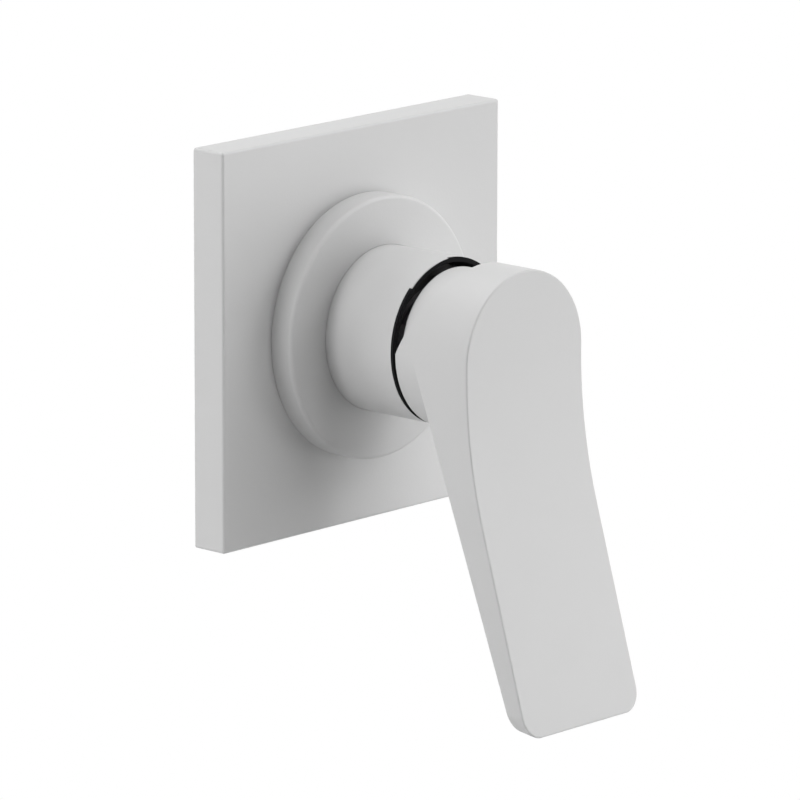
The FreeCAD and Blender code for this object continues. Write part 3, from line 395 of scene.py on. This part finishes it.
def circle_like(ring, radius, out):
    """A circle whose points lie in the same directions as those of a ring round the axis."""
    points = []
    for point in ring:
        reach = math.hypot(point.x, point.z)
        points.append(at(radius * point.x / reach, out, radius * point.z / reach))
    return points


def edge_steps(radius, steps=EDGE_STEPS):
    """(inset, depth) along a rounded edge, from the face to the side."""
    angles = spread(0, TAU / 4, steps)
    return [(radius * (1 - math.sin(angle)), radius * (1 - math.cos(angle))) for angle in angles]


# Pieces of the wall side.


def make_plate():
    def square(inset, out):
        half = PLATE_HALF - inset
        return rounded_rectangle(half, half, PLATE_EDGE - inset, out)

    pan_half = PLATE_HALF - PLATE_WALL
    rings = [square(inset, PLATE_FRONT - depth) for inset, depth in edge_steps(PLATE_EDGE)]
    rings += [square(0, PAN_CORNER / 2), square(PAN_CORNER / 2, 0)]
    rings += [rounded_rectangle(pan_half, pan_half, PAN_CORNER, out) for out in (0, PLATE_FLOOR)]
    rings.append(circle_like(rings[-1], PLATE_HOLE, PLATE_FLOOR))
    rings.append(circle_like(rings[-1], PLATE_HOLE, PLATE_FRONT))
    plate = loft("plate_shell", rings, True)
    sinks = []
    for place in DISC_SCREW_PLACES:
        sinks.append(countersink(place, PLATE_FLOOR, PLATE_FRONT, DISC_SCREW_R, DISC_SCREW_HEAD))
    return combine(plate, sinks, "DIFFERENCE")


def make_gasket():
    outer = PLATE_HALF - PLATE_WALL - GASKET_PLAY
    inner = outer - GASKET_WIDTH

    def square(half, out):
        return rounded_rectangle(half, half, PAN_CORNER, out)

    edge = edge_steps(GASKET_EDGE, GASKET_EDGE_STEPS)
    rings = [square(outer - inset, depth) for inset, depth in edge]
    rings += [square(outer, PLATE_FLOOR), square(inner, PLATE_FLOOR)]
    rings += [square(inner + inset, depth) for inset, depth in reversed(edge)]
    return loft("gasket_foam", rings, True)


def make_disc():
    disc = lathe("disc_cap", soften([
        (DISC_BORE, SPIGOT_BACK, 0),
        (SPIGOT_R, SPIGOT_BACK, SPIGOT_EDGE),
        (SPIGOT_R, PLATE_FRONT, 0),
        (DISC_R, PLATE_FRONT, DISC_REAR_EDGE),
        (DISC_R, DISC_FRONT, DISC_EDGE),
        (DISC_BORE, DISC_FRONT, DISC_BORE_EDGE),
        (DISC_BORE, GROOVE_HIGH, 0),
        (GROOVE_R, GROOVE_HIGH, 0),
        (GROOVE_R, GROOVE_LOW, 0),
        (DISC_BORE, GROOVE_LOW, 0),
    ], FINE_EDGE_STEPS))
    depth = PLATE_FLOOR + DISC_SCREW_LENGTH + SCREW_END_ROOM
    radius = DISC_SCREW_R + SCREW_PLAY
    seats = [
        rod("seat", radius, SPIGOT_BACK - OVERRUN, depth, along_out_at(place)) for place in DISC_SCREW_PLACES
    ]
    return combine(disc, seats, "DIFFERENCE")


def key_depth(angle):
    """How far the key reaches inwards there."""
    share = min(1, (angle - NOTCH_START) / KEY_RUN_OUT)
    return KEY_LEAST + (KEY_DEPTH - KEY_LEAST) * share


def make_neck():
    """A sleeve with a key on its rim, in the ring's notch."""
    neck = lathe("neck_tube", soften([
        (NECK_RIB_R, NECK_BACK, 0),
        (NECK_R, NECK_BACK, NECK_BACK_EDGE),
        (NECK_R, NECK_FRONT, 0),
        (NECK_BORE, NECK_FRONT, NECK_RIM_EDGE),
        (NECK_BORE, NECK_RIB_FRONT, 0),
        (NECK_RIB_R, NECK_RIB_FRONT, 0),
    ]))

    def key_section(angle):
        depth = key_depth(angle)
        return soften([
            (NECK_R - depth, NECK_FRONT - KEY_DEPTH, 0),
            (NECK_R - SEAM, NECK_FRONT - KEY_DEPTH, 0),
            (NECK_R - SEAM, RING_FRONT, KEY_EDGE * depth / KEY_DEPTH),
            (NECK_R - depth, RING_FRONT, 0),
        ])

    play = KEY_PLAY / NECK_R
    key = arc_bar("key", key_section, NOTCH_START + play, NOTCH_END - play)
    return combine(neck, [key], "UNION")


def make_ring():
    ring = lathe("ring_glide", soften([
        (RING_R - RING_SKIRT, RING_BACK, RING_EDGE),
        (RING_R, RING_BACK, RING_EDGE),
        (RING_R, NECK_FRONT, 0),
        (NECK_R, NECK_FRONT, RING_EDGE),
        (NECK_R, RING_FRONT, RING_EDGE),
        (RING_R - RING_LIP, RING_FRONT, RING_EDGE),
    ]))

    def notch_section(angle):
        floor = NECK_R - key_depth(angle) - KEY_PLAY
        return [
            (floor, NECK_FRONT - SEAM),
            (NECK_R + OVERRUN, NECK_FRONT - SEAM),
            (NECK_R + OVERRUN, RING_FRONT + OVERRUN),
            (floor, RING_FRONT + OVERRUN),
        ]

    notch = arc_bar("notch", notch_section, NOTCH_START, NOTCH_END)
    return combine(ring, [notch], "DIFFERENCE")


def make_screws(name, places, head_back, radius, head, length, drive, drive_depth):
    screws = []
    for place in places:
        put = along_out_at(place)
        profile = soften([
            (0, head_back, 0),
            (head, head_back, SCREW_EDGE),
            (radius, head_back + head - radius, 0),
            (radius, head_back + length, SCREW_EDGE),
            (0, head_back + length, 0),
        ], COARSE_EDGE_STEPS)
        screw = lathe(name, profile, put, SMALL_SEGMENTS)
        socket = rod("socket", drive, head_back - OVERRUN, head_back + drive_depth, put, HEX_SIDES)
        screws.append(combine(screw, [socket], "DIFFERENCE"))
    return merge(name, screws)


def thread(name, put, reach):
    """A cutter for a threaded socket, with its helix and a lead-in at the mouth."""
    height = (THREAD_OUTER - THREAD_INNER) / 2
    floor = reach - THREAD_DEPTH
    rows = int((THREAD_DEPTH + OVERRUN) / THREAD_PITCH * THREAD_STEPS)
    bm = bmesh.new()
    rings = [[bm.verts.new(put(0, 0, reach + OVERRUN))]]
    for along in spread(reach + OVERRUN, floor, rows):
        ring = []
        for step in range(SMALL_SEGMENTS):
            angle = TAU * step / SMALL_SEGMENTS
            wave = math.cos(TAU * along / THREAD_PITCH - angle)
            radius = THREAD_INNER + height * (1 - wave)
            radius = max(radius, THREAD_OUTER + THREAD_LEAD + along - reach)
            ring.append(bm.verts.new(put(radius * math.cos(angle), radius * math.sin(angle), along)))
        rings.append(ring)
    rings.append([bm.verts.new(put(0, 0, floor))])
    for one, two in zip(rings, rings[1:]):
        band(bm, one, two)
    return new_object(name, bm)


def make_body():
    body = lathe("body_casting", soften([
        (0, BODY_REAR, 0),
        (BODY_R, BODY_REAR, BODY_EDGE),
        (BODY_R, NECK_BACK, 0),
        (NOSE_R, NECK_BACK, 0),
        (NOSE_R, NOSE_FRONT, 0),
        (NUT_THREAD_R, NOSE_FRONT, 0),
        (NUT_THREAD_R, NUT_THREAD_BACK, 0),
        (CUP_R, NUT_THREAD_BACK, 0),
        (CUP_R, SEAT, 0),
        (0, SEAT, 0),
    ]))

    def boss(put, start, reach):
        profile = [(0, start, 0), (BOSS_R, start, 0), (BOSS_R, reach, BODY_EDGE), (0, reach, 0)]
        return lathe("boss", soften(profile), put, SEGMENTS // 2)

    inlets = lathe("inlets", soften([
        (0, -INLET_REACH, 0),
        (BOSS_R, -INLET_REACH, BODY_EDGE),
        (BOSS_R, INLET_REACH, BODY_EDGE),
        (0, INLET_REACH, 0),
    ]), along_x, SEGMENTS // 2)
    combine(body, [inlets, boss(along_up, 0, OUTLET_REACH)], "UNION")
    cuts = []
    ways = [
        (along_x, INLET_REACH, INLET_LAND),
        (along_minus_x, INLET_REACH, INLET_LAND),
        (along_up, OUTLET_REACH, OUTLET_LAND),
    ]
    for put, reach, land in ways:
        cuts.append(thread("thread", put, reach))
        cuts.append(rod("way", WATERWAY_R, land, reach, put))
    for place in PORT_PLACES:
        cuts.append(rod("port", PORT_R, INLET_OUT, SEAT + OVERRUN, along_out_at(place)))
    depth = BRACKET_BACK + BRACKET_SCREW_LENGTH + SCREW_END_ROOM
    for place in BRACKET_SCREW_PLACES:
        radius = BRACKET_SCREW_R + SCREW_PLAY
        cuts.append(rod("seat", radius, BODY_REAR - OVERRUN, depth, along_out_at(place)))
    return combine(body, cuts, "DIFFERENCE")


def make_bracket():
    def strap(inset, out):
        width = BRACKET_HALF_WIDTH - inset
        height = BRACKET_HALF_HEIGHT - inset
        return rounded_rectangle(width, height, BRACKET_CORNER - inset, out)

    edge = edge_steps(BRACKET_EDGE, COARSE_EDGE_STEPS)
    rings = [strap(inset, BRACKET_BACK + depth) for inset, depth in edge]
    rings += [strap(inset, BODY_REAR - depth) for inset, depth in reversed(edge)]
    bracket = loft("bracket_strap", rings, False)
    cuts = []
    for place in WALL_HOLE_PLACES:
        put = along_out_at(place)
        cuts.append(rod("hole", WALL_HOLE_R, BRACKET_BACK - OVERRUN, BODY_REAR + OVERRUN, put))
    for place in BRACKET_SCREW_PLACES:
        cuts.append(countersink(place, BRACKET_BACK, BODY_REAR, BRACKET_SCREW_R, BRACKET_SCREW_HEAD))
    return combine(bracket, cuts, "DIFFERENCE")


# The lever.

BEND_START = BEND_DROP - BEND_RADIUS * math.tan(BLADE_ANGLE / 2)
BEND_END = BEND_START + BEND_RADIUS * BLADE_ANGLE
BLADE_END = BEND_END + BLADE_LENGTH - BEND_RADIUS * math.tan(BLADE_ANGLE / 2)
# The tip's face rises to the rear: it leans by both angles from a cut square to the front. So its corners
# are longer, seen square to the front, and so is the rounding of its sharp front edge.
TIP_LEAN = BLADE_ANGLE + TIP_ANGLE
TIP_CORNER = BLADE_CORNER / math.cos(TIP_LEAN)
TIP_EDGE_SHARE = math.tan(TAU / 8 + TIP_LEAN / 2)


def blade_front(down):
    """(up, out, tilt) of the lever's front, at a distance down along it from the hub's axis."""
    tilt = min(max(down - BEND_START, 0) / BEND_RADIUS, BLADE_ANGLE)
    past = max(down - BEND_END, 0)
    flat = min(down, BEND_START)
    up = -flat - BEND_RADIUS * math.sin(tilt) - past * math.cos(tilt)
    out = BLADE_FRONT + BEND_RADIUS * (1 - math.cos(tilt)) + past * math.sin(tilt)
    return up, out, tilt


def blade_depth(down):
    """How thick the lever is there, square to its front."""
    up, out, tilt = blade_front(down)
    if down <= 0:
        return out - HUB_REAR - RELIEF_TAN * up
    slant = math.cos(tilt) + BLADE_BACK_TAN * math.sin(tilt)
    return (out - BLADE_BACK + BLADE_BACK_TAN * up) / slant


def tip_depth():
    """How far the tip's rear edge is under the front, square to it."""
    up, out, _ = blade_front(BLADE_END)
    slant = math.cos(TIP_ANGLE) - BLADE_BACK_TAN * math.sin(TIP_ANGLE)
    return (out - BLADE_BACK + BLADE_BACK_TAN * up) / slant * math.cos(TIP_LEAN)


def blade_outline(inset, depth):
    """(x, down) of the right half of the lever's outline, from the crown to the tip at that depth."""
    half = HUB_R - inset
    corner = BLADE_CORNER - inset
    tip_corner = TIP_CORNER - inset * TIP_EDGE_SHARE
    last = BLADE_END - TIP_TRIM - depth * math.tan(TIP_LEAN) - TIP_CORNER
    crown = spread(0, TAU / 4, SEGMENTS // 4)
    points = [(half * math.sin(angle), -half * math.cos(angle)) for angle in crown]
    points += [(half, down) for down in spread(SEAM, last, BLADE_SIDE_STEPS)]
    for angle in spread(0, TAU / 4, BLADE_CORNER_STEPS)[1:]:
        points.append((half - corner + corner * math.cos(angle), last + tip_corner * math.sin(angle)))
    return points


def blade_point(x, down, depth):
    up, out, tilt = blade_front(down)
    return at(x, out - depth * math.cos(tilt), up - depth * math.sin(tilt))


def make_blade():
    bm = bmesh.new()

    def ring(inset, depth_at_tip, depth_of):
        half = blade_outline(inset, depth_at_tip)
        right = [bm.verts.new(blade_point(x, down, depth_of(down))) for x, down in half]
        left = [bm.verts.new(blade_point(-x, down, depth_of(down))) for x, down in half[1:]]
        return right, left

    def fill(right, left):
        bm.faces.new((right[0], right[1], left[0]))
        for index in range(1, len(right) - 1):
            bm.faces.new((right[index], right[index + 1], left[index], left[index - 1]))

    halves = [ring(inset, depth, lambda down, depth=depth: depth) for inset, depth in edge_steps(BLADE_EDGE)]
    for inset, depth in reversed(edge_steps(BLADE_REAR_EDGE)):
        halves.append(ring(inset, tip_depth() - depth, lambda down, depth=depth: blade_depth(down) - depth))
    loops = [right + left[::-1] for right, left in halves]
    for one, two in zip(loops, loops[1:]):
        band(bm, one, two)
    fill(*halves[0])
    fill(*halves[-1])
    return new_object("handle_lever", bm)


def make_handle():
    handle = make_blade()
    hub = lathe("hub", soften([
        (0, HUB_REAR, 0),
        (HUB_R - SEAM, HUB_REAR, HUB_EDGE),
        (HUB_R - SEAM, BLADE_MIDDLE, 0),
        (0, BLADE_MIDDLE, 0),
    ]))
    top = HUB_R + OVERRUN
    below = HUB_REAR - 2 * OVERRUN
    relief = prism("relief", [
        (-OVERRUN, HUB_REAR + SEAM - RELIEF_TAN * OVERRUN),
        (top, HUB_REAR + SEAM + RELIEF_TAN * top),
        (top, below),
        (-OVERRUN, below),
    ], top)
    combine(hub, [relief], "DIFFERENCE")
    collar = lathe("collar", soften([
        (0, COLLAR_REAR, 0),
        (COLLAR_R, COLLAR_REAR, COLLAR_EDGE),
        (COLLAR_R, BLADE_MIDDLE - OVERRUN, 0),
        (0, BLADE_MIDDLE - OVERRUN, 0),
    ]))
    combine(handle, [hub, collar], "UNION")
    square = [(SOCKET_HALF, BORE_FLOOR - OVERRUN), (SOCKET_HALF, SOCKET_FLOOR)]
    square += [(-up, out) for up, out in reversed(square)]
    cuts = [
        rod("bore", HANDLE_BORE, COLLAR_REAR - OVERRUN, BORE_FLOOR, along_out, SEGMENTS),
        prism("socket", square, SOCKET_HALF),
        rod("screw_hole", HANDLE_SCREW_R, 0, PLUG_FLOOR + OVERRUN, from_below),
        rod("recess", PLUG_R + PLUG_PLAY, PLUG_FLOOR, HUB_R + OVERRUN, from_below),
    ]
    return combine(handle, cuts, "DIFFERENCE")


def make_plug():
    """A plug that follows the hub's round side."""

    def put(p, q, along):
        return from_below(p, q, math.sqrt(HUB_R ** 2 - p ** 2) - along)

    depth = HUB_R - PLUG_FLOOR - 2 * PLUG_EDGE
    top = soften([(0, 0, 0), (PLUG_R, 0, PLUG_EDGE), (PLUG_R, depth, 0), (0, depth, 0)])
    middle = [(PLUG_R * share, 0) for share in spread(0, PLUG_FACE_SHARE, PLUG_FACE_STEPS)]
    return lathe("plug_cap", middle + top[1:], put, SMALL_SEGMENTS)


# Finishes.

TONE_DETAIL = 4.0
GLOSS_DETAIL = 2.0
GRAIN_DETAIL = 3.0
# The gloss varies on a finer scale than the tone, by this factor.
GLOSS_SCALE_SHARE = 3
# Sockets of a mix of two colours.
MIX_DARK = 6
MIX_LIGHT = 7
MIX_RESULT = 2


def noise(nodes, links, vector, scale, detail):
    item = nodes.new("ShaderNodeTexNoise")
    item.inputs["Scale"].default_value = scale
    item.inputs["Detail"].default_value = detail
    links.new(vector, item.inputs["Vector"])
    return item.outputs["Fac"]


def surface(name, dark, light, roughness, tone_scale, grain_scale, grain_height, metallic=0.0,
            stretch=(1, 1, 1), cells=False, specular=0.5):
    """A finish whose tone and gloss vary over the piece, with a fine relief of real height."""
    material = bpy.data.materials.new(name)
    material.use_nodes = True
    nodes = material.node_tree.nodes
    links = material.node_tree.links
    shader = nodes["Principled BSDF"]
    shader.inputs["Metallic"].default_value = metallic
    shader.inputs["Specular IOR Level"].default_value = specular
    place = nodes.new("ShaderNodeTexCoord")
    mapping = nodes.new("ShaderNodeMapping")
    mapping.inputs["Scale"].default_value = stretch
    links.new(place.outputs["Object"], mapping.inputs["Vector"])
    vector = mapping.outputs["Vector"]
    tone = nodes.new("ShaderNodeMix")
    tone.data_type = "RGBA"
    tone.inputs[MIX_DARK].default_value = (*dark, 1)
    tone.inputs[MIX_LIGHT].default_value = (*light, 1)
    links.new(noise(nodes, links, vector, tone_scale, TONE_DETAIL), tone.inputs[0])
    links.new(tone.outputs[MIX_RESULT], shader.inputs["Base Color"])
    gloss = nodes.new("ShaderNodeMapRange")
    gloss.inputs["To Min"].default_value = roughness[0]
    gloss.inputs["To Max"].default_value = roughness[1]
    gloss_noise = noise(nodes, links, vector, tone_scale * GLOSS_SCALE_SHARE, GLOSS_DETAIL)
    links.new(gloss_noise, gloss.inputs["Value"])
    links.new(gloss.outputs["Result"], shader.inputs["Roughness"])
    if cells:
        grain = nodes.new("ShaderNodeTexVoronoi")
        grain.inputs["Scale"].default_value = grain_scale
        links.new(vector, grain.inputs["Vector"])
        relief = grain.outputs["Distance"]
    else:
        relief = noise(nodes, links, vector, grain_scale, GRAIN_DETAIL)
    bump = nodes.new("ShaderNodeBump")
    bump.inputs["Distance"].default_value = grain_height
    links.new(relief, bump.inputs["Height"])
    links.new(bump.outputs["Normal"], shader.inputs["Normal"])
    return material


FINISHES = {
    "white_paint": surface(
        "white_powder_coat", dark=(0.60, 0.60, 0.60), light=(0.63, 0.63, 0.63), roughness=(0.50, 0.60),
        tone_scale=14, grain_scale=1400, grain_height=0.00002),
    "black_plastic": surface(
        "black_moulded", dark=(0.015, 0.015, 0.016), light=(0.020, 0.020, 0.021), roughness=(0.70, 0.85),
        tone_scale=60, grain_scale=2500, grain_height=0.00002, specular=0.03),
    "white_plastic": surface(
        "white_moulded", dark=(0.64, 0.64, 0.64), light=(0.69, 0.69, 0.69), roughness=(0.45, 0.55),
        tone_scale=60, grain_scale=2500, grain_height=0.00002),
    "brass": surface(
        "cast_brass", dark=(0.46, 0.30, 0.10), light=(0.62, 0.43, 0.17), roughness=(0.30, 0.48),
        tone_scale=90, grain_scale=700, grain_height=0.00012, metallic=1.0),
    "steel": surface(
        "zinc_plated_steel", dark=(0.46, 0.47, 0.49), light=(0.60, 0.61, 0.62), roughness=(0.28, 0.42),
        tone_scale=120, grain_scale=900, grain_height=0.00003, metallic=1.0, stretch=(6, 6, 0.4)),
    # Painted light and shade: this dark grey is set so that the shaded gap inside the neck renders at its
    # level, not only from the nut's own coat.
    "black_metal": surface(
        "nut_painted_gap_tone", dark=(0.12, 0.12, 0.12), light=(0.15, 0.15, 0.15), roughness=(0.55, 0.70),
        tone_scale=90, grain_scale=1800, grain_height=0.00002, specular=0.15),
    # Painted light: this grey is lightened so that the shaded cartridge seen through the gap renders
    # brighter; it is partly the plastic's own grey.
    "cartridge_plastic": surface(
        "grey_moulded_painted_gap_light", dark=(0.33, 0.33, 0.34), light=(0.39, 0.39, 0.40), roughness=(0.55, 0.70),
        tone_scale=60, grain_scale=2500, grain_height=0.00002, specular=0.2),
    "ceramic": surface(
        "fired_ceramic", dark=(0.70, 0.68, 0.63), light=(0.78, 0.76, 0.72), roughness=(0.12, 0.22),
        tone_scale=300, grain_scale=3000, grain_height=0.000005),
    "black_rubber": surface(
        "black_rubber", dark=(0.012, 0.012, 0.012), light=(0.022, 0.022, 0.022), roughness=(0.65, 0.80),
        tone_scale=80, grain_scale=1800, grain_height=0.00003),
    "grey_foam": surface(
        "closed_cell_foam", dark=(0.07, 0.07, 0.075), light=(0.12, 0.12, 0.125), roughness=(0.85, 0.95),
        tone_scale=200, grain_scale=900, grain_height=0.0004, specular=0.2, cells=True),
}
SMOOTH_ANGLE = math.radians(32)


def dress(piece, node, finish):
    """Gives a piece its shading and finish, and puts it in its node's place."""
    piece.data.shade_smooth()
    piece.data.set_sharp_from_angle(angle=SMOOTH_ANGLE)
    weighted = piece.modifiers.new("even_shading", "WEIGHTED_NORMAL")
    weighted.keep_sharp = True
    piece.data.materials.clear()
    piece.data.materials.append(FINISHES[finish])
    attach(piece, body_of[node])
    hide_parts(node)


body_of = {}
for body, nodes_of_body in frame["record"]["behaviour"]["bodies"].items():
    for node_name in nodes_of_body:
        body_of[node_name] = body

dress(make_plate(), "wall_plate", "white_paint")
dress(make_gasket(), "plate_gasket", "grey_foam")
dress(make_disc(), "cover_disc", "white_paint")
dress(make_neck(), "neck_sleeve", "white_paint")
dress(make_ring(), "glide_ring", "black_plastic")
dress(make_handle(), "handle", "white_paint")
dress(make_plug(), "handle_plug", "white_plastic")
dress(make_body(), "valve_body", "brass")
dress(make_bracket(), "mounting_bracket", "steel")
dress(
    make_screws("disc_screw_set", DISC_SCREW_PLACES, PLATE_FLOOR, DISC_SCREW_R, DISC_SCREW_HEAD,
                DISC_SCREW_LENGTH, DISC_SCREW_DRIVE, DISC_SCREW_DRIVE_DEPTH),
    "disc_screws", "steel")
dress(
    make_screws("bracket_screw_set", BRACKET_SCREW_PLACES, BRACKET_BACK, BRACKET_SCREW_R, BRACKET_SCREW_HEAD,
                BRACKET_SCREW_LENGTH, BRACKET_SCREW_DRIVE, BRACKET_SCREW_DRIVE_DEPTH),
    "bracket_screws", "steel")

# Hidden pieces. The nut's and the cartridge's tones carry painted light and shade for the gap inside the
# neck.
INNER_FINISHES = {
    "disc_oring": "black_rubber",
    "port_seals": "black_rubber",
    "handle_screw": "steel",
    "lever_stem": "brass",
    "pivot_pin": "steel",
    "turret": "cartridge_plastic",
    "temperature_stop": "cartridge_plastic",
    "cartridge_housing": "cartridge_plastic",
    "cartridge_base": "cartridge_plastic",
    "fixed_disc": "ceramic",
    "moving_disc": "ceramic",
    "disc_carrier": "cartridge_plastic",
    "cartridge_nut": "black_metal",
}
for node_name, finish_name in INNER_FINISHES.items():
    for slot in frame["nodes"][node_name].material_slots:
        slot.material = FINISHES[finish_name]


# Stage, light and camera, in metres.

FLOOR_UP = -0.35
FLOOR_HALF = 0.75
FLOOR_GREY = (0.60, 0.60, 0.60, 1)
FLOOR_ROUGHNESS = 0.9
# The floor fades into the white background between these distances from its middle, from this share of white.
FLOOR_FADE = (0.20, 0.60)
FLOOR_WHITE = 0.6
WHITE = (1, 1, 1, 1)
AMBIENT = 0.02
LAMP_DISTANCE = 1.6
LAMP_AIM = at(0, 45, -20)
# Name, azimuth and elevation in degrees, size, and power in watts.
LAMPS = [
    ("front", 15, -8, 1.0, 10.1),
    ("right", 45, -5, 1.0, 6.7),
    ("top_right", 60, 35, 0.8, 9),
    ("left", -110, -15, 0.6, 3.2),
    ("left_back", -130, -15, 0.6, 8.2),
    ("top_left", -100, 30, 0.6, 10),
    ("top", 0, 80, 1.2, 11.3),
    ("back", 180, 45, 0.8, 8.4),
]


def make_floor():
    bm = bmesh.new()
    corners = [(1, 1), (-1, 1), (-1, -1), (1, -1)]
    bm.faces.new([bm.verts.new((x * FLOOR_HALF, y * FLOOR_HALF, 0)) for x, y in corners])
    floor = new_object("floor", bm)
    floor.location.z = FLOOR_UP
    material = bpy.data.materials.new("pale_floor")
    material.use_nodes = True
    nodes = material.node_tree.nodes
    links = material.node_tree.links
    shader = nodes["Principled BSDF"]
    shader.inputs["Base Color"].default_value = FLOOR_GREY
    shader.inputs["Roughness"].default_value = FLOOR_ROUGHNESS
    white = nodes.new("ShaderNodeEmission")
    white.inputs["Strength"].default_value = 1.0
    place = nodes.new("ShaderNodeTexCoord")
    length = nodes.new("ShaderNodeVectorMath")
    length.operation = "LENGTH"
    links.new(place.outputs["Object"], length.inputs[0])
    fade = nodes.new("ShaderNodeMapRange")
    fade.interpolation_type = "SMOOTHSTEP"
    fade.inputs["From Min"].default_value = FLOOR_FADE[0]
    fade.inputs["From Max"].default_value = FLOOR_FADE[1]
    fade.inputs["To Min"].default_value = FLOOR_WHITE
    links.new(length.outputs["Value"], fade.inputs["Value"])
    share = nodes.new("ShaderNodeMath")
    share.operation = "MULTIPLY"
    links.new(fade.outputs["Result"], share.inputs[0])
    links.new(seen_directly(nodes, links), share.inputs[1])
    mix = nodes.new("ShaderNodeMixShader")
    links.new(share.outputs["Value"], mix.inputs[0])
    links.new(shader.outputs["BSDF"], mix.inputs[1])
    links.new(white.outputs["Emission"], mix.inputs[2])
    links.new(mix.outputs["Shader"], nodes["Material Output"].inputs["Surface"])
    floor.data.materials.append(material)


def seen_directly(nodes, links):
    """1 for rays that show the background: from the camera, from a gloss and through glass."""
    path = nodes.new("ShaderNodeLightPath")
    total = path.outputs["Is Camera Ray"]
    for ray in ("Is Glossy Ray", "Is Transmission Ray"):
        add = nodes.new("ShaderNodeMath")
        add.operation = "MAXIMUM"
        links.new(total, add.inputs[0])
        links.new(path.outputs[ray], add.inputs[1])
        total = add.outputs["Value"]
    return total


def make_world():
    world = bpy.data.worlds.new("studio")
    world.use_nodes = True
    nodes = world.node_tree.nodes
    links = world.node_tree.links
    background = nodes["Background"]
    background.inputs["Color"].default_value = WHITE
    strength = nodes.new("ShaderNodeMapRange")
    strength.inputs["To Min"].default_value = AMBIENT
    strength.inputs["To Max"].default_value = 1.0
    links.new(seen_directly(nodes, links), strength.inputs["Value"])
    links.new(strength.outputs["Result"], background.inputs["Strength"])
    bpy.context.scene.world = world


def make_lamp(name, azimuth, elevation, size, power):
    """A square lamp that looks at the part; azimuth is from the front, positive to the right."""
    data = bpy.data.lights.new(name, "AREA")
    data.energy = power
    data.size = size
    obj = bpy.data.objects.new(name, data)
    bpy.context.scene.collection.objects.link(obj)
    a = math.radians(azimuth)
    e = math.radians(elevation)
    towards = Vector((math.sin(a) * math.cos(e), -math.cos(a) * math.cos(e), math.sin(e)))
    turn = towards.to_track_quat("Z", "Y").to_matrix().to_4x4()
    obj.matrix_world = Matrix.Translation(LAMP_AIM + towards * LAMP_DISTANCE) @ turn


CAMERA_AZIMUTH = math.radians(-47.36)
CAMERA_ELEVATION = math.radians(12.855)
CAMERA_ROLL = math.radians(-0.124)
CAMERA_DISTANCE = 1.9497
CAMERA_FOCAL_PIXELS = 7113.9
PICTURE_PIXELS = 800
PLATE_MIDDLE_PIXEL = (333.954, 317.894)
SENSOR_MM = 36.0


def make_camera():
    """Looks along its azimuth and elevation, moved aside so that the plate's middle is at its pixel."""
    back = Vector((
        math.sin(CAMERA_AZIMUTH) * math.cos(CAMERA_ELEVATION),
        -math.cos(CAMERA_AZIMUTH) * math.cos(CAMERA_ELEVATION),
        math.sin(CAMERA_ELEVATION),
    ))
    right = Vector((math.cos(CAMERA_AZIMUTH), math.sin(CAMERA_AZIMUTH), 0))
    top = back.cross(right)
    scale = CAMERA_DISTANCE / CAMERA_FOCAL_PIXELS
    aside = (PLATE_MIDDLE_PIXEL[0] - PICTURE_PIXELS / 2) * scale
    above = (PICTURE_PIXELS / 2 - PLATE_MIDDLE_PIXEL[1]) * scale
    place = back * CAMERA_DISTANCE - right * aside - top * above
    rolled_right = right * math.cos(CAMERA_ROLL) - top * math.sin(CAMERA_ROLL)
    rolled_top = right * math.sin(CAMERA_ROLL) + top * math.cos(CAMERA_ROLL)
    data = bpy.data.cameras.new("camera")
    data.sensor_width = SENSOR_MM
    data.lens = CAMERA_FOCAL_PIXELS / PICTURE_PIXELS * SENSOR_MM
    camera = bpy.data.objects.new("camera", data)
    bpy.context.scene.collection.objects.link(camera)
    axes = Matrix((rolled_right, rolled_top, back)).transposed()
    camera.matrix_world = Matrix.Translation(place) @ axes.to_4x4()
    bpy.context.scene.camera = camera


for lamp in LAMPS:
    make_lamp(*lamp)
make_floor()
make_world()
make_camera()
bpy.context.scene.view_settings.view_transform = "Standard"
